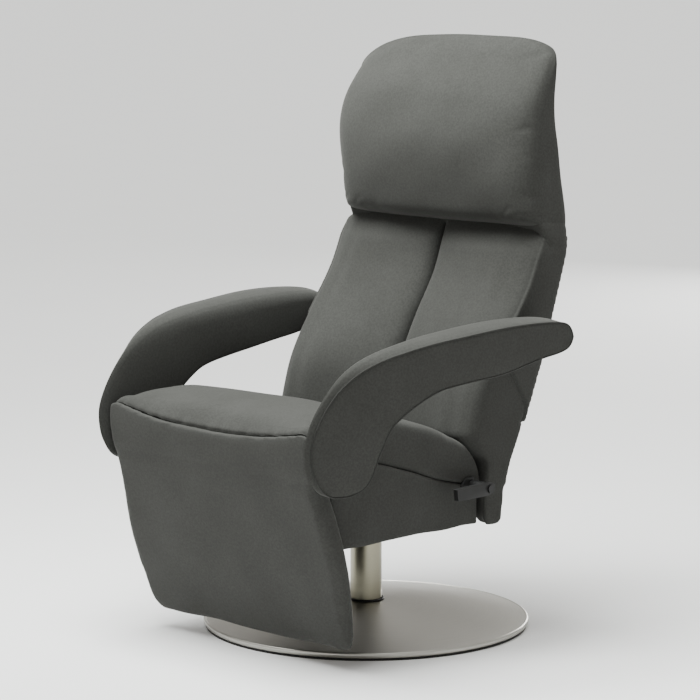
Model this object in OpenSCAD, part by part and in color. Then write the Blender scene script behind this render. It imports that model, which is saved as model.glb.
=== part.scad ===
// Swivel recliner on a round disc base.
// Millimetres, +Z up, the sitter faces -Y and has the release lever on the +X side.
// The origin is on the floor, on the axis of the column.

/* [Base] */
// Diameter of the disc that stands on the floor
plate_d = 622; // [540:1:700]
// Height of the disc's upright rim
rim_h = 11.5; // [9:0.5:16]
// Rise of the domed cover from its rim to the column
cover_rise = 34; // [20:1:45]
// Thickness of the domed steel cover
cover_t = 2; // [1.5:0.1:2.5]
// Thickness of the rubber pad under the base
floor_pad_t = 2.5; // [2:0.1:4]
// Thickness of the ballast disc under the cover
ballast_t = 8; // [6:0.5:9]
// Outer diameter of the column
column_d = 60; // [50:1:70]
// Wall of the column tube
column_wall = 3; // [2:0.25:5]
// Height of the column's top above the floor
column_top = 229; // [225:1:232]
// Diameter of the swivel spindle
spindle_d = 24; // [20:1:30]
// Play between a pin and its bore, on the radius
pin_play = 0.05; // [0.03:0.01:0.09]

/* [Seat] */
// Width over the two upholstered side panels
seat_w = 500; // [460:1:540]
// Depth of the seat cushion from front to back
seat_l = 448; // [420:1:470]
// Height of the seat cushion's form, over its tilt
seat_h = 175; // [150:1:190]
// Height of the lowest corner of the seat cushion
seat_z = 285; // [282:1:300]
// Place of the seat cushion's rear end behind the column axis
seat_rear = 48; // [40:1:49]
// Thickness of an upholstered side panel
side_t = 28; // [20:1:32]
// Height of the side panels' lower edge
side_z = 228; // [224:1:232]
// Width of a frame rail
rail_w = 20; // [15:1:24]
// Height of a frame rail
rail_h = 30; // [25:1:34]
// Thickness of the steel plate that carries the seat on the spindle
hub_plate_t = 6; // [4:0.5:8]

/* [Arms] */
// Length of an arm from its front to its rear tip
arm_l = 583; // [570:1:590]
// Place of an arm's rear tip behind the column axis
arm_rear = 168; // [162:1:180]
// Height of an arm's outer face from its lowest point to its top
arm_h = 276; // [260:1:290]
// Height of the arm's lowest point
arm_z = 330; // [322:1:345]
// Gap between the back and each arm
arm_gap = 5; // [5:0.5:20]
// Thickness of an arm across, at its front
arm_front_w = 11; // [9:1:25]
// Thickness of an arm across, at its rear
arm_rear_w = 100; // [80:1:115]

/* [Back] */
// Width of the back
back_w = 536; // [480:1:540]
// Height of the back from its lower edge to its top
back_h = 455; // [430:1:457]
// Depth of the back's leaning form, from front to rear
back_l = 222; // [205:1:235]
// Forward crown of each of the two channels
channel_crown = 22; // [8:1:26]
// Forward fullness of the back's two outer edges, above the seat
channel_side = 46; // [10:1:50]
// Thickness of the bent plywood panel in the back
back_board_t = 10; // [8:0.5:12]
// Angle that the back reclines from its upright rest
recline_angle = 34; // [20:1:36]

/* [Headrest] */
// Width of the headrest
head_w = 526; // [480:1:540]
// Height of the headrest pad
head_h = 350; // [310:1:365]
// Depth of the headrest pad
head_l = 124; // [110:1:130]
// Forward crown of the headrest
head_crown = 16; // [6:1:22]
// Drop of the headrest's top at its rounded corners
head_corner = 48; // [30:1:70]
// Rise of the headrest's top in the middle
head_lift = 11; // [5:1:18]

/* [Footrest] */
// Width of the footrest panel
foot_w = 538; // [480:1:542]
// Length of the panel from its hinge to its lower edge
foot_h = 366; // [330:1:372]
// Extra half width of the panel below the arms
foot_flare = 16; // [0:1:18]
// Distance that the panel's lower edge hangs back from its hinge
foot_lean = 102; // [96:1:106]
// Radius of the panel's rounded top, round its hinge
foot_top_r = 22; // [20:0.5:23]
// Angle that the footrest lifts when the back is fully reclined
foot_angle = 85; // [60:1:88]

/* [Lever] */
// Length of the release lever from its shaft to its tip
lever_l = 88; // [70:1:110]
// Thickness of the lever's grip
lever_t = 10; // [8:1:16]
// Diameter of the lever's shaft
lever_shaft_d = 10; // [8:0.5:12]

/* [Hidden] */
$fn = 64;

// One overrun for every cut that has to pass through a face
over = 1;
// Gap between soft pieces that belong to different bodies
soft_gap = 0.6;

// Points of the outlines, from shares of the sizes that carry them
function lerp(a, b, t) = a + (b - a) * t;
function unit(v) = v / norm(v);
function cross_span(a, b, c, d, t) =
    (2 * b + (c - a) * t + (2 * a - 5 * b + 4 * c - d) * t * t + (3 * b - a - 3 * c + d) * t * t * t) / 2;
function smooth(p, steps) = concat(
    [for (i = [0 : len(p) - 2], j = [0 : steps - 1])
        cross_span(p[max(i - 1, 0)], p[i], p[i + 1], p[min(i + 2, len(p) - 1)], j / steps)],
    [p[len(p) - 1]]);
function flip(p) = [for (i = [len(p) - 1 : -1 : 0]) p[i]];
// A rail in the side view: shares of a length forwards and of a height upwards, from its rear lower corner
function rail(shares, rear, length, low, height, steps) =
    smooth([for (s = shares) [rear - s[0] * length, low + s[1] * height]], steps);
// A ring across the piece at one x, from a front rail and a rear rail
function ring(x, front, rear) = [for (p = concat(front, flip(rear))) [x, p[0], p[1]]];
// Each rail's points moved towards the middle line between the two rails
function drawn(a, b, k) = [for (i = [0 : len(a) - 1]) lerp((a[i] + b[i]) / 2, a[i], k)];
// Each point of a moved towards b by a set distance
function inset(a, b, d) = [for (i = [0 : len(a) - 1]) a[i] + unit(b[i] - a[i]) * d];
function end_fade(i, n) = sin(180 * i / (n - 1));

// A closed form through rings that all have the same number of points
module loft(rings) {
    n = len(rings[0]);
    m = len(rings);
    half = n / 2;
    last = (m - 1) * n;
    sides = [for (i = [0 : m - 2], j = [0 : n - 1], second = [0, 1])
        second == 0 ? [i * n + j, i * n + (j + 1) % n, (i + 1) * n + j]
                    : [i * n + (j + 1) % n, (i + 1) * n + (j + 1) % n, (i + 1) * n + j]];
    caps = [for (j = [0 : half - 2], second = [0, 1])
        second == 0 ? [j, n - 1 - j, j + 1] : [j + 1, n - 1 - j, n - 2 - j]];
    end_caps = [for (f = caps) [last + f[0], last + f[2], last + f[1]]];
    polyhedron(points = [for (r = rings, p = r) p], faces = concat(sides, caps, end_caps));
}

// A prism across the seat from an outline in the side view
module across(x0, x1, outline) {
    translate([x0, 0, 0])
        rotate([90, 0, 90])
            linear_extrude(x1 - x0)
                polygon(outline);
}
module pin_x(x0, x1, at, r) {
    translate([x0, at[0], at[1]])
        rotate([0, 90, 0])
            cylinder(h = x1 - x0, r = r);
}
module mirrored_pair() {
    children();
    mirror([1, 0, 0]) children();
}

// Places that several pieces share, in the side view as [y, z]
plate_r = plate_d / 2;
column_r = column_d / 2;
spindle_r = spindle_d / 2;
seat_half = seat_w / 2;
back_half = back_w / 2;
// The arms stand clear of the back, and of the brackets on the seat's side panels
arm_bracket_w = 23;
arm_inner = max(back_half + arm_gap, seat_half + arm_bracket_w);
panel_inner = seat_half - side_t;
rail_inner = panel_inner - rail_w;
seat_front = seat_rear - seat_l;

// The swivel stack on top of the column
cap_flange_t = 5;
hub_collar_w = 16;
hub_wall = 10;
hub_drop = 6;
cap_plug_l = 30;
washer_t = 2.5;
turn_gap = 0.1;
hub_collar_t = 4.4;
hub_collar_r = spindle_r + hub_collar_w;
hub_r = spindle_r + hub_wall;
cap_top = column_top + cap_flange_t;
hub_low = cap_top + washer_t + turn_gap;
plate_z = hub_low + hub_collar_t;
rail_z = plate_z + hub_plate_t;
rail_top = rail_z + rail_h;
hub_top = rail_top - hub_drop;

// The hinge between the seat and the back
recline_back = 27;
recline_axis = [seat_rear + recline_back, rail_z + rail_h / 2];
recline_pin_r = 7;
rail_eye_r = rail_h / 2;
bracket_t = 8;
bracket_eye_r = 14;
side_play = 0.3;
bracket_gap = 2;
bracket_outer = rail_inner - bracket_gap;

// The hinge between the seat and the footrest
foot_axis_in = 14;
foot_axis_up = 117;
foot_axis = [seat_front + foot_axis_in, seat_z + foot_axis_up];
foot_pin_r = 5;
foot_eye_r = 11;
lug_t = 6;
lug_inset = 30;
lug_gap = 2;
lug_outer = panel_inner - lug_inset;
foot_arm_outer = lug_outer - lug_t - lug_gap;
front_board_t = 12;
front_board_in = 88;
front_board_y = seat_front + front_board_in;

// The soft outlines, from the front edge to the rear edge of each piece
rail_steps = 2;
seat_top_shares = [[0, 0.19], [0.004, 0.354], [0.045, 0.503], [0.176, 0.651], [0.306, 0.766],
    [0.473, 0.891], [0.605, 0.971], [0.754, 1], [0.877, 0.983], [0.964, 0.937], [1.004, 0.863]];
seat_under_shares = [[0, 0.074], [0.018, 0.029], [0.085, 0.069], [0.176, 0.131], [0.306, 0.234],
    [0.473, 0.366], [0.605, 0.469], [0.754, 0.589], [0.879, 0.686], [0.922, 0.817], [1, 0.811]];
seat_top = rail(seat_top_shares, seat_rear, seat_l, seat_z, seat_h, rail_steps);
seat_under = rail(seat_under_shares, seat_rear, seat_l, seat_z, seat_h, rail_steps);
seat_crown = 5;
cushion_inset = 2;

arm_top_shares = [[0, 0.895], [0.014, 0.957], [0.057, 0.989], [0.16, 1], [0.322, 0.993],
    [0.477, 0.967], [0.614, 0.935], [0.738, 0.88], [0.834, 0.793], [0.906, 0.67], [0.962, 0.525],
    [0.997, 0.362], [0.995, 0.21], [0.974, 0.101], [0.949, 0.033], [0.918, 0.004]];
arm_under_shares = [[0, 0.873], [0.014, 0.819], [0.057, 0.786], [0.151, 0.757], [0.305, 0.692],
    [0.451, 0.663], [0.563, 0.63], [0.648, 0.554], [0.714, 0.464], [0.744, 0.384], [0.76, 0.308],
    [0.775, 0.246], [0.787, 0.174], [0.803, 0.098], [0.829, 0.036], [0.871, 0.004]];
// The underside's inner edge, which hangs lower than its outer edge
arm_tuck_shares = [[0, 0.873], [0.014, 0.805], [0.057, 0.755], [0.151, 0.7], [0.305, 0.655],
    [0.451, 0.61], [0.563, 0.555], [0.62, 0.49], [0.665, 0.415], [0.7, 0.34], [0.73, 0.27],
    [0.755, 0.2], [0.78, 0.14], [0.803, 0.08], [0.829, 0.03], [0.871, 0.004]];
// How far the outer face has widened, at even steps from the front to the rear
arm_splay_shares = [0, 0.1, 0.34, 0.57, 0.7, 0.78, 0.84, 0.89, 0.93, 0.97, 1];
arm_top = rail(arm_top_shares, arm_rear, arm_l, arm_z, arm_h, rail_steps);
arm_under = rail(arm_under_shares, arm_rear, arm_l, arm_z, arm_h, rail_steps);
arm_tuck = rail(arm_tuck_shares, arm_rear, arm_l, arm_z, arm_h, rail_steps);
function splay(y) =
    let (last = len(arm_splay_shares) - 1, t = max(0, min(1, 1 - (arm_rear - y) / arm_l)) * last,
        i = min(floor(t), last - 1))
    arm_inner + lerp(arm_front_w, arm_rear_w, lerp(arm_splay_shares[i], arm_splay_shares[i + 1], t - i));

back_lift = 13;
back_reach = 226;
back_low = rail_top + back_lift;
back_rear = seat_rear + back_reach;
back_front_shares = [[1, 0], [0.991, 0.077], [0.978, 0.176], [0.955, 0.286], [0.901, 0.418],
    [0.793, 0.538], [0.649, 0.655], [0.513, 0.758], [0.378, 0.879], [0.279, 0.967], [0.225, 1]];
back_rear_shares = [[0.748, 0], [0.703, 0.077], [0.608, 0.176], [0.509, 0.286], [0.396, 0.418],
    [0.297, 0.538], [0.221, 0.655], [0.149, 0.758], [0.068, 0.879], [0.014, 0.967], [0, 0.993]];
back_front = rail(back_front_shares, back_rear, back_l, back_low, back_h, rail_steps);
back_back = rail(back_rear_shares, back_rear, back_l, back_low, back_h, rail_steps);
// The bent plywood panel lies inside the back, at this share of its thickness
back_board_share = 0.62;
board_front = [for (i = [0 : len(back_front) - 1]) lerp(back_front[i], back_back[i], back_board_share)];
channel_rear = inset(board_front, back_front, soft_gap / 2);
cover_front = inset(board_front, back_back, back_board_t + soft_gap / 2);
wrap_front = inset(board_front, back_back, soft_gap / 2);
board_inset = 22;
board_half = back_half - board_inset;

head_gap = 13;
head_low = back_low + back_h + head_gap;
head_front_shares = [[0.758, 0.053], [0.895, 0.088], [0.944, 0.21], [0.935, 0.357], [0.879, 0.503],
    [0.782, 0.635], [0.653, 0.757], [0.508, 0.868], [0.403, 0.943], [0.339, 0.983]];
head_rear_shares = [[0.016, 0.006], [0, 0.05], [0.056, 0.167], [0.129, 0.304], [0.194, 0.439],
    [0.25, 0.576], [0.266, 0.722], [0.25, 0.854], [0.242, 0.931], [0.258, 0.983]];
head_front = rail(head_front_shares, back_rear, head_l, head_low, head_h, rail_steps);
head_rear = rail(head_rear_shares, back_rear, head_l, head_low, head_h, rail_steps);
head_board_t = 10;
head_half = head_w / 2;
// The pad's recess for its board ends at this point of the rear line; the board one point below it
head_recess_last = 13;
head_recess = concat(
    [for (i = [0 : head_recess_last]) inset(head_rear, head_front, head_board_t + soft_gap / 2)[i]],
    [for (i = [head_recess_last + 1 : len(head_rear) - 1]) head_rear[i]]);
head_recess_share = 0.8;
recess_step_share = 0.005;
head_corner_share = 0.66;
head_axis_in = 13;
head_axis_drop = 7;
head_axis = [back_rear - head_axis_in, head_low - head_axis_drop];
head_pin_r = 4;
head_eye_r = 7;

foot_half = foot_w / 2;
foot_low = foot_axis[1] - foot_h;
foot_rear = foot_axis[0] + foot_lean;
foot_body_shares = [[0.113, 0], [0.202, 0.066], [0.395, 0.257], [0.565, 0.448], [0.726, 0.639],
    [0.879, 0.803], [0.976, 0.926]];
foot_back_shares = [[0, 0.005], [0.048, 0.066], [0.161, 0.257], [0.274, 0.448], [0.395, 0.639],
    [0.508, 0.803], [0.597, 0.926]];
foot_skin_shares = [0.58, 0.58, 0.58, 0.58, 0.58, 0.55, 0.42];
foot_skin_t = 7;
function foot_points(shares) = [for (s = shares)
    [foot_rear - s[0] * (foot_lean + foot_top_r), foot_low + s[1] * foot_h]];
function round_foot(r, from, to) = [for (k = [0 : 3])
    foot_axis + r * [cos(lerp(from, to, k / 3)), sin(lerp(from, to, k / 3))]];
foot_front = smooth(concat(foot_points(foot_body_shares), round_foot(foot_top_r, 180, 90)), rail_steps);
foot_back = smooth(concat(foot_points(foot_back_shares), round_foot(foot_top_r, 0, 75)), rail_steps);
foot_inner_points = [for (i = [0 : len(foot_skin_shares) - 1])
    lerp(foot_points(foot_body_shares)[i], foot_points(foot_back_shares)[i], foot_skin_shares[i])];
foot_inner = smooth(concat(foot_inner_points, round_foot(foot_top_r - foot_skin_t, 180, 90)), rail_steps);
foot_board_t = 12;
foot_board_front = inset(foot_inner, foot_back, soft_gap / 2);
foot_board_back = inset(foot_inner, foot_back, soft_gap / 2 + foot_board_t);
foot_board_last = 10;
foot_recess_share = 0.93;

// How the sides of a soft piece are drawn in: [share of the half width, share of the thickness]
edge_shares = [[1, 0.58], [0.985, 0.78], [0.955, 0.92], [0.905, 1]];
flat_shares = [0.6, 0.3, 0];

fabric = [0.27, 0.275, 0.265];
steel = [0.72, 0.7, 0.66];
dark_steel = [0.3, 0.3, 0.31];
black = [0.07, 0.07, 0.075];
wood = [0.72, 0.58, 0.4];

// Base
lip_w = 8;
rim_low = floor_pad_t;
rim_top = floor_pad_t + rim_h;
ballast_gap = 1;
ballast_r = plate_r - lip_w - ballast_gap;
ballast_z = floor_pad_t;
flange_z = ballast_z + ballast_t;
flange_t = 8;
flange_w = 45;
flange_bolt_w = 25;
flange_r = column_r + flange_w;
flange_bolt_r = column_r + flange_bolt_w;
bolt_r = 4;
bolt_play = 0.2;
bolt_head_r = 7;
bolt_head_t = 5;
cover_play = 1.5;
cover_hole_r = column_r + cover_play;
cover_steps = 16;
function dome(r) = rim_top + cover_rise * cos(90 * r / plate_r);
module base_cover() {
    radii = [for (i = [0 : cover_steps]) lerp(cover_hole_r, plate_r - cover_t / 2, i / cover_steps)];
    outline = concat([for (r = radii) [r, dome(r)]],
        [[plate_r, rim_top - cover_t / 2], [plate_r, rim_low], [plate_r - lip_w, rim_low],
        [plate_r - lip_w, rim_low + cover_t], [plate_r - cover_t, rim_low + cover_t]],
        [for (i = [cover_steps : -1 : 0]) [min(radii[i], plate_r - cover_t), dome(radii[i]) - cover_t]]);
    color(steel)
        rotate_extrude($fn = 180)
            polygon(outline);
}
module ballast_disc() {
    color(dark_steel)
        difference() {
            translate([0, 0, ballast_z]) cylinder(h = ballast_t, r = ballast_r, $fn = 180);
            flange_bolts(bolt_r + bolt_play, ballast_z - over, ballast_t + 2 * over);
        }
}
module floor_pad() {
    color(black) cylinder(h = floor_pad_t, r = plate_r - lip_w / 2, $fn = 180);
}
module flange_bolts(r, low, h) {
    for (a = [45 : 90 : 315])
        rotate(a) translate([flange_bolt_r, 0, low]) cylinder(h = h, r = r);
}
module column_flange() {
    color(dark_steel)
        difference() {
            translate([0, 0, flange_z]) cylinder(h = flange_t, r = flange_r);
            flange_bolts(bolt_r + bolt_play, flange_z - over, flange_t + 2 * over);
        }
}
module flange_screws() {
    color(dark_steel) {
        flange_bolts(bolt_r, ballast_z, ballast_t + flange_t);
        flange_bolts(bolt_head_r, flange_z + flange_t, bolt_head_t);
    }
}
module column_tube() {
    low = flange_z + flange_t;
    color(steel)
        difference() {
            translate([0, 0, low]) cylinder(h = column_top - low, r = column_r);
            translate([0, 0, low - over])
                cylinder(h = column_top - low + 2 * over, r = column_r - column_wall);
        }
}
gasket_h = 3;
gasket_w = 5;
module column_gasket() {
    color(black)
        translate([0, 0, dome(cover_hole_r) + pin_play])
            difference() {
                cylinder(h = gasket_h, r = column_r + gasket_w);
                translate([0, 0, -over]) cylinder(h = gasket_h + 2 * over, r = column_r + pin_play);
            }
}
module column_cap() {
    color(black)
        difference() {
            union() {
                translate([0, 0, column_top - cap_plug_l])
                    cylinder(h = cap_plug_l, r = column_r - column_wall - pin_play);
                translate([0, 0, column_top]) cylinder(h = cap_flange_t, r = column_r);
            }
            translate([0, 0, column_top - cap_plug_l - over])
                cylinder(h = cap_plug_l + cap_flange_t + 2 * over, r = spindle_r + pin_play);
        }
}
module swivel_spindle() {
    low = column_top - cap_plug_l;
    color(steel) translate([0, 0, low]) cylinder(h = hub_top + 2 * turn_gap - low, r = spindle_r);
}
module thrust_washer() {
    color([0.85, 0.84, 0.8])
        translate([0, 0, cap_top])
            difference() {
                cylinder(h = washer_t, r = hub_collar_r);
                translate([0, 0, -over]) cylinder(h = washer_t + 2 * over, r = spindle_r + pin_play);
            }
}
retainer_t = 4;
retainer_w = 5;
module spindle_retainer() {
    color(dark_steel)
        translate([0, 0, hub_top + 2 * turn_gap])
            difference() {
                cylinder(h = retainer_t, r = spindle_r + retainer_w);
                translate([0, 0, retainer_t / 2]) cylinder(h = retainer_t, r = bolt_r, $fn = 6);
            }
}

// Seat frame
hub_plate_front = -80;
hub_plate_rear = 55;
cross_w = 25;
cross_front_y = -65;
cross_rear_y = 38;
tube_wall = 2;
plate_bolt_y = 48;
module swivel_hub() {
    color(dark_steel)
        difference() {
            union() {
                translate([0, 0, hub_low]) cylinder(h = hub_collar_t, r = hub_collar_r);
                translate([0, 0, plate_z]) cylinder(h = hub_top - plate_z, r = hub_r);
            }
            translate([0, 0, hub_low - over])
                cylinder(h = hub_top - hub_low + 2 * over, r = spindle_r + pin_play);
        }
}
module at_plate_bolts(low) {
    for (x = [-1, 1], y = [hub_plate_front + cross_w / 2, plate_bolt_y])
        translate([x * (rail_inner + rail_w / 2), y, low]) children();
}
module hub_plate() {
    color(dark_steel)
        difference() {
            translate([-panel_inner, hub_plate_front, plate_z])
                cube([2 * panel_inner, hub_plate_rear - hub_plate_front, hub_plate_t]);
            translate([0, 0, plate_z - over]) cylinder(h = hub_plate_t + 2 * over, r = hub_r);
            at_plate_bolts(plate_z - over) cylinder(h = hub_plate_t + 2 * over, r = bolt_r + bolt_play);
        }
}
module hub_plate_screws() {
    color(steel) {
        at_plate_bolts(plate_z - bolt_head_t) cylinder(h = bolt_head_t, r = bolt_head_r);
        at_plate_bolts(plate_z) cylinder(h = hub_plate_t + tube_wall, r = bolt_r);
    }
}
rail_front = front_board_y + front_board_t;
module seat_rail() {
    eye = recline_axis[0];
    color(dark_steel)
        difference() {
            union() {
                translate([rail_inner, rail_front, rail_z]) cube([rail_w, eye - rail_front, rail_h]);
                pin_x(rail_inner, panel_inner, recline_axis, rail_eye_r);
            }
            translate([rail_inner + tube_wall, rail_front - over, rail_z + tube_wall])
                cube([rail_w - 2 * tube_wall, eye - rail_front - 2 * rail_eye_r, rail_h - 2 * tube_wall]);
            pin_x(rail_inner - over, panel_inner + over, recline_axis, recline_pin_r + pin_play);
            at_plate_bolts(rail_z - over) cylinder(h = tube_wall + 2 * over, r = bolt_r + bolt_play);
        }
}
module seat_rail_left() { seat_rail(); }
module seat_rail_right() { mirror([1, 0, 0]) seat_rail(); }
module cross_tube(y) {
    color(dark_steel)
        difference() {
            translate([-rail_inner, y - cross_w / 2, rail_z]) cube([2 * rail_inner, cross_w, cross_w]);
            translate([-rail_inner - over, y - cross_w / 2 + tube_wall, rail_z + tube_wall])
                cube([2 * rail_inner + 2 * over, cross_w - 2 * tube_wall, cross_w - 2 * tube_wall]);
        }
}
module cross_tube_front() { cross_tube(cross_front_y); }
module cross_tube_rear() { cross_tube(cross_rear_y); }
webbing_t = 2.5;
webbing_w = 50;
webbing_count = 4;
webbing_rear_in = 28;
webbing_pitch = (seat_rear - webbing_rear_in - rail_front) / webbing_count;
module seat_webbing() {
    color(black)
        for (i = [0 : webbing_count - 1])
            translate([-panel_inner, rail_front + (webbing_pitch - webbing_w) + i * webbing_pitch, rail_top])
                cube([2 * panel_inner, webbing_w, webbing_t]);
}
front_board_up = 100;
module front_board() {
    top = seat_z + front_board_up;
    color(wood)
        translate([-panel_inner, front_board_y, rail_z])
            cube([2 * panel_inner, front_board_t, top - rail_z]);
}
under_t = 3;
under_up = 2;
module seat_underside() {
    z = side_z + under_up;
    color(black)
        difference() {
            translate([-panel_inner, front_board_y, z])
                cube([2 * panel_inner, panel_rear - front_board_y, under_t]);
            translate([0, 0, z - over]) cylinder(h = under_t + 2 * over, r = column_r + gasket_w);
        }
}

// Soft seat, on a wedge of foam that lies on the webbing
foam_inset = 8;
foam_rear_in = 20;
foam_gap = 2;
module seat_foam() {
    rear = seat_rear - foam_rear_in;
    front = rail_front + foam_gap;
    low = rail_top + webbing_t;
    top = [for (p = seat_under) if (p[0] < rear && p[0] > front) p - [0, soft_gap / 2]];
    last = len(top) - 1;
    color([0.85, 0.8, 0.62])
        across(foam_inset - panel_inner, panel_inner - foam_inset,
            concat([[rear, low], [rear, top[0][1]]], top, [[front, top[last][1]], [front, low]]));
}
module seat_cushion() {
    half = seat_half - cushion_inset;
    edges = concat(edge_shares, [for (s = flat_shares) [s, 1]]);
    stations = concat([for (e = edges) [-e[0], e[1]]], [for (i = [len(edges) - 2 : -1 : 0]) edges[i]]);
    color(fabric)
        loft([for (s = stations)
            let (lift = seat_crown * (1 - s[0] * s[0]),
                top = drawn(seat_top, seat_under, s[1]),
                under = drawn(seat_under, seat_top, s[1]),
                n = len(top))
            ring(s[0] * half, [for (i = [0 : n - 1]) top[i] + [0, lift * end_fade(i, n)]], under)]);
}
panel_rear_in = 15;
panel_rear = seat_rear - panel_rear_in;
// The side panel's front edge in shares of the seat's depth: its top, the seam's end and the rounded toe
panel_front_share = 0.893;
panel_seam_share = 0.87;
panel_toe_shares = [0.825, 0.815];
panel_toe_r = 4;
panel_heel_r = 6;
panel_heel_drop = 2;
module side_panel() {
    seam_front = seat_rear - panel_seam_share * seat_l;
    top = [for (p = seat_under) if (p[0] < panel_rear && p[0] > seam_front) p - [0, soft_gap]];
    front = [seat_rear - panel_front_share * seat_l, top[len(top) - 1][1]];
    outline = concat([[panel_rear, side_z + panel_heel_r], [panel_rear, top[0][1] - panel_heel_drop]], top,
        [front, [seat_rear - panel_toe_shares[0] * seat_l, side_z + panel_toe_r],
        [seat_rear - panel_toe_shares[1] * seat_l, side_z], [panel_rear - panel_heel_r, side_z]]);
    color(fabric)
        difference() {
            across(panel_inner, seat_half, outline);
            for (at = arm_screw_places) pin_x(panel_inner - over, seat_half + over, at, bolt_r + bolt_play);
        }
}
module side_panel_left() { side_panel(); }
module side_panel_right() { mirror([1, 0, 0]) side_panel(); }

// Arms
// [share of the way to the outer face, share of the thickness over the middle line, share of the tuck]
arm_sections_shares = [[0, 0.74, 0.82], [0.05, 0.9, 0.96], [0.13, 1.03, 1], [0.25, 1.13, 0.94],
    [0.45, 1.2, 0.72], [0.7, 1.16, 0.4], [0.92, 1.06, 0.1], [1, 1, 0]];
module arm() {
    color(fabric)
        loft([for (s = arm_sections_shares)
            let (top = drawn(arm_top, arm_under, s[1]),
                under = [for (i = [0 : len(arm_under) - 1]) lerp(arm_under[i], arm_tuck[i], s[2])])
            [for (p = concat(top, flip(under))) [lerp(arm_inner, splay(p[0]), s[0]), p[0], p[1]]]]);
}
module arm_left() { arm(); }
module arm_right() { mirror([1, 0, 0]) arm(); }
spacer_in = 57;
spacer_l = 31;
spacer_up = 24;
spacer_h = 40;
spacer_edge = 12;
spacer_y = seat_front + spacer_in;
spacer_z = arm_z + spacer_up;
arm_screw_places = [for (z = [spacer_edge, spacer_h - spacer_edge]) [spacer_y + spacer_l / 2, spacer_z + z]];
module arm_bracket() {
    color(dark_steel)
        difference() {
            translate([seat_half, spacer_y, spacer_z]) cube([arm_inner - seat_half, spacer_l, spacer_h]);
            for (at = arm_screw_places) pin_x(seat_half - over, arm_inner + over, at, bolt_r + bolt_play);
        }
}
module arm_bracket_left() { arm_bracket(); }
module arm_bracket_right() { mirror([1, 0, 0]) arm_bracket(); }
module arm_screws() {
    color(steel)
        mirrored_pair()
            for (at = arm_screw_places) {
                pin_x(panel_inner - bolt_head_t, panel_inner, at, bolt_head_r);
                pin_x(panel_inner, arm_inner, at, bolt_r);
            }
}

// Hinges of the seat frame
lug_up = 88;
lug_h = 40;
lug_low = rail_z + lug_up;
lug_high = lug_low + lug_h;
pin_end = 2;
pin_head_t = 3;
pin_head_w = 3;
module plate_arm(x0, x1, axis, eye_r, outline) {
    across(x0, x1, outline);
    pin_x(x0, x1, axis, eye_r);
}
module footrest_lug() {
    tip = 8;
    color(dark_steel)
        difference() {
            plate_arm(lug_outer - lug_t, lug_outer, foot_axis, foot_eye_r,
                [foot_axis + [-tip / 2, -tip], foot_axis + [foot_eye_r, 0],
                [front_board_y, lug_high], [front_board_y, lug_low]]);
            pin_x(lug_outer - lug_t - over, lug_outer + over, foot_axis, foot_pin_r + pin_play);
        }
}
module footrest_lug_left() { footrest_lug(); }
module footrest_lug_right() { mirror([1, 0, 0]) footrest_lug(); }
module footrest_pins() {
    color(steel)
        mirrored_pair() {
            pin_x(foot_arm_outer - lug_t - pin_end, lug_outer + side_play, foot_axis, foot_pin_r);
            pin_x(lug_outer + side_play, lug_outer + side_play + pin_head_t, foot_axis,
                foot_pin_r + pin_head_w);
        }
}
module recline_pins() {
    color(steel)
        mirrored_pair() {
            pin_x(bracket_outer - bracket_t - side_play, panel_inner, recline_axis, recline_pin_r);
            pin_x(bracket_outer - bracket_t - side_play - pin_head_t, bracket_outer - bracket_t - side_play,
                recline_axis, recline_pin_r + pin_head_w);
        }
}

// Release lever
lever_axis_in = 22;
lever_axis_up = 12;
lever_axis = [seat_rear - lever_axis_in, seat_z + lever_axis_up];
lever_shaft_r = lever_shaft_d / 2;
lever_plate_t = 4;
lever_bush_w = 6;
lever_bush_play = 2;
lever_stand = 40;
lever_bush_l = lever_stand - lever_plate_t - lever_bush_play;
lever_in = seat_half + lever_stand;
// The bracket plate's side view from the lever's axis, in shares of its reach forwards and downwards
lever_plate_l = 30;
lever_plate_h = 25;
lever_plate_shares = [[-1, -0.5], [-0.6, -1], [0.12, -1], [0.22, -0.1], [0.12, 0.62],
    [-0.5, 0.66], [-1, 0.15]];
module lever_bracket() {
    plate = [for (s = lever_plate_shares) lever_axis + [s[0] * lever_plate_l, s[1] * lever_plate_h]];
    color(black)
        difference() {
            union() {
                across(seat_half, seat_half + lever_plate_t, plate);
                pin_x(seat_half + lever_plate_t, seat_half + lever_plate_t + lever_bush_l, lever_axis,
                    lever_shaft_r + lever_bush_w);
            }
            pin_x(seat_half - over, seat_half + lever_plate_t + lever_bush_l + over, lever_axis,
                lever_shaft_r + pin_play);
        }
}
module lever_shaft() {
    color(steel) pin_x(seat_half + side_play, lever_in + lever_t, lever_axis, lever_shaft_r);
}
// The grip's side view: shares of its length forwards from the shaft and of its depth upwards
lever_depth = 24;
lever_shares = [[-0.12, 0.1], [-0.1, 0.4], [0.06, 0.52], [0.3, 0.5], [0.97, 0.42], [1, 0.3],
    [0.98, -0.4], [0.94, -0.48], [0.5, -0.5], [0, -0.42]];
module lever_grip() {
    outline = [for (s = lever_shares) lever_axis + [-s[0] * lever_l, s[1] * lever_depth]];
    color(black)
        difference() {
            union() {
                across(lever_in, lever_in + lever_t, outline);
                pin_x(lever_in, lever_in + lever_t, lever_axis, lever_depth / 2);
            }
            pin_x(lever_in - over, lever_in + lever_t + over, lever_axis, lever_shaft_r);
        }
}
lever_cap_t = 3;
lever_cap_w = 3;
module lever_cap() {
    color(dark_steel)
        pin_x(lever_in + lever_t, lever_in + lever_t + lever_cap_t, lever_axis, lever_shaft_r + lever_cap_w);
}

// Back
module back_board() {
    n = 2 * (len(back_front_shares) - 2);
    front = [for (i = [0 : n]) board_front[i]];
    rear = [for (i = [0 : n]) inset(board_front, back_back, back_board_t)[i]];
    color(wood) across(-board_half, board_half, concat(front, flip(rear)));
}
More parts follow.
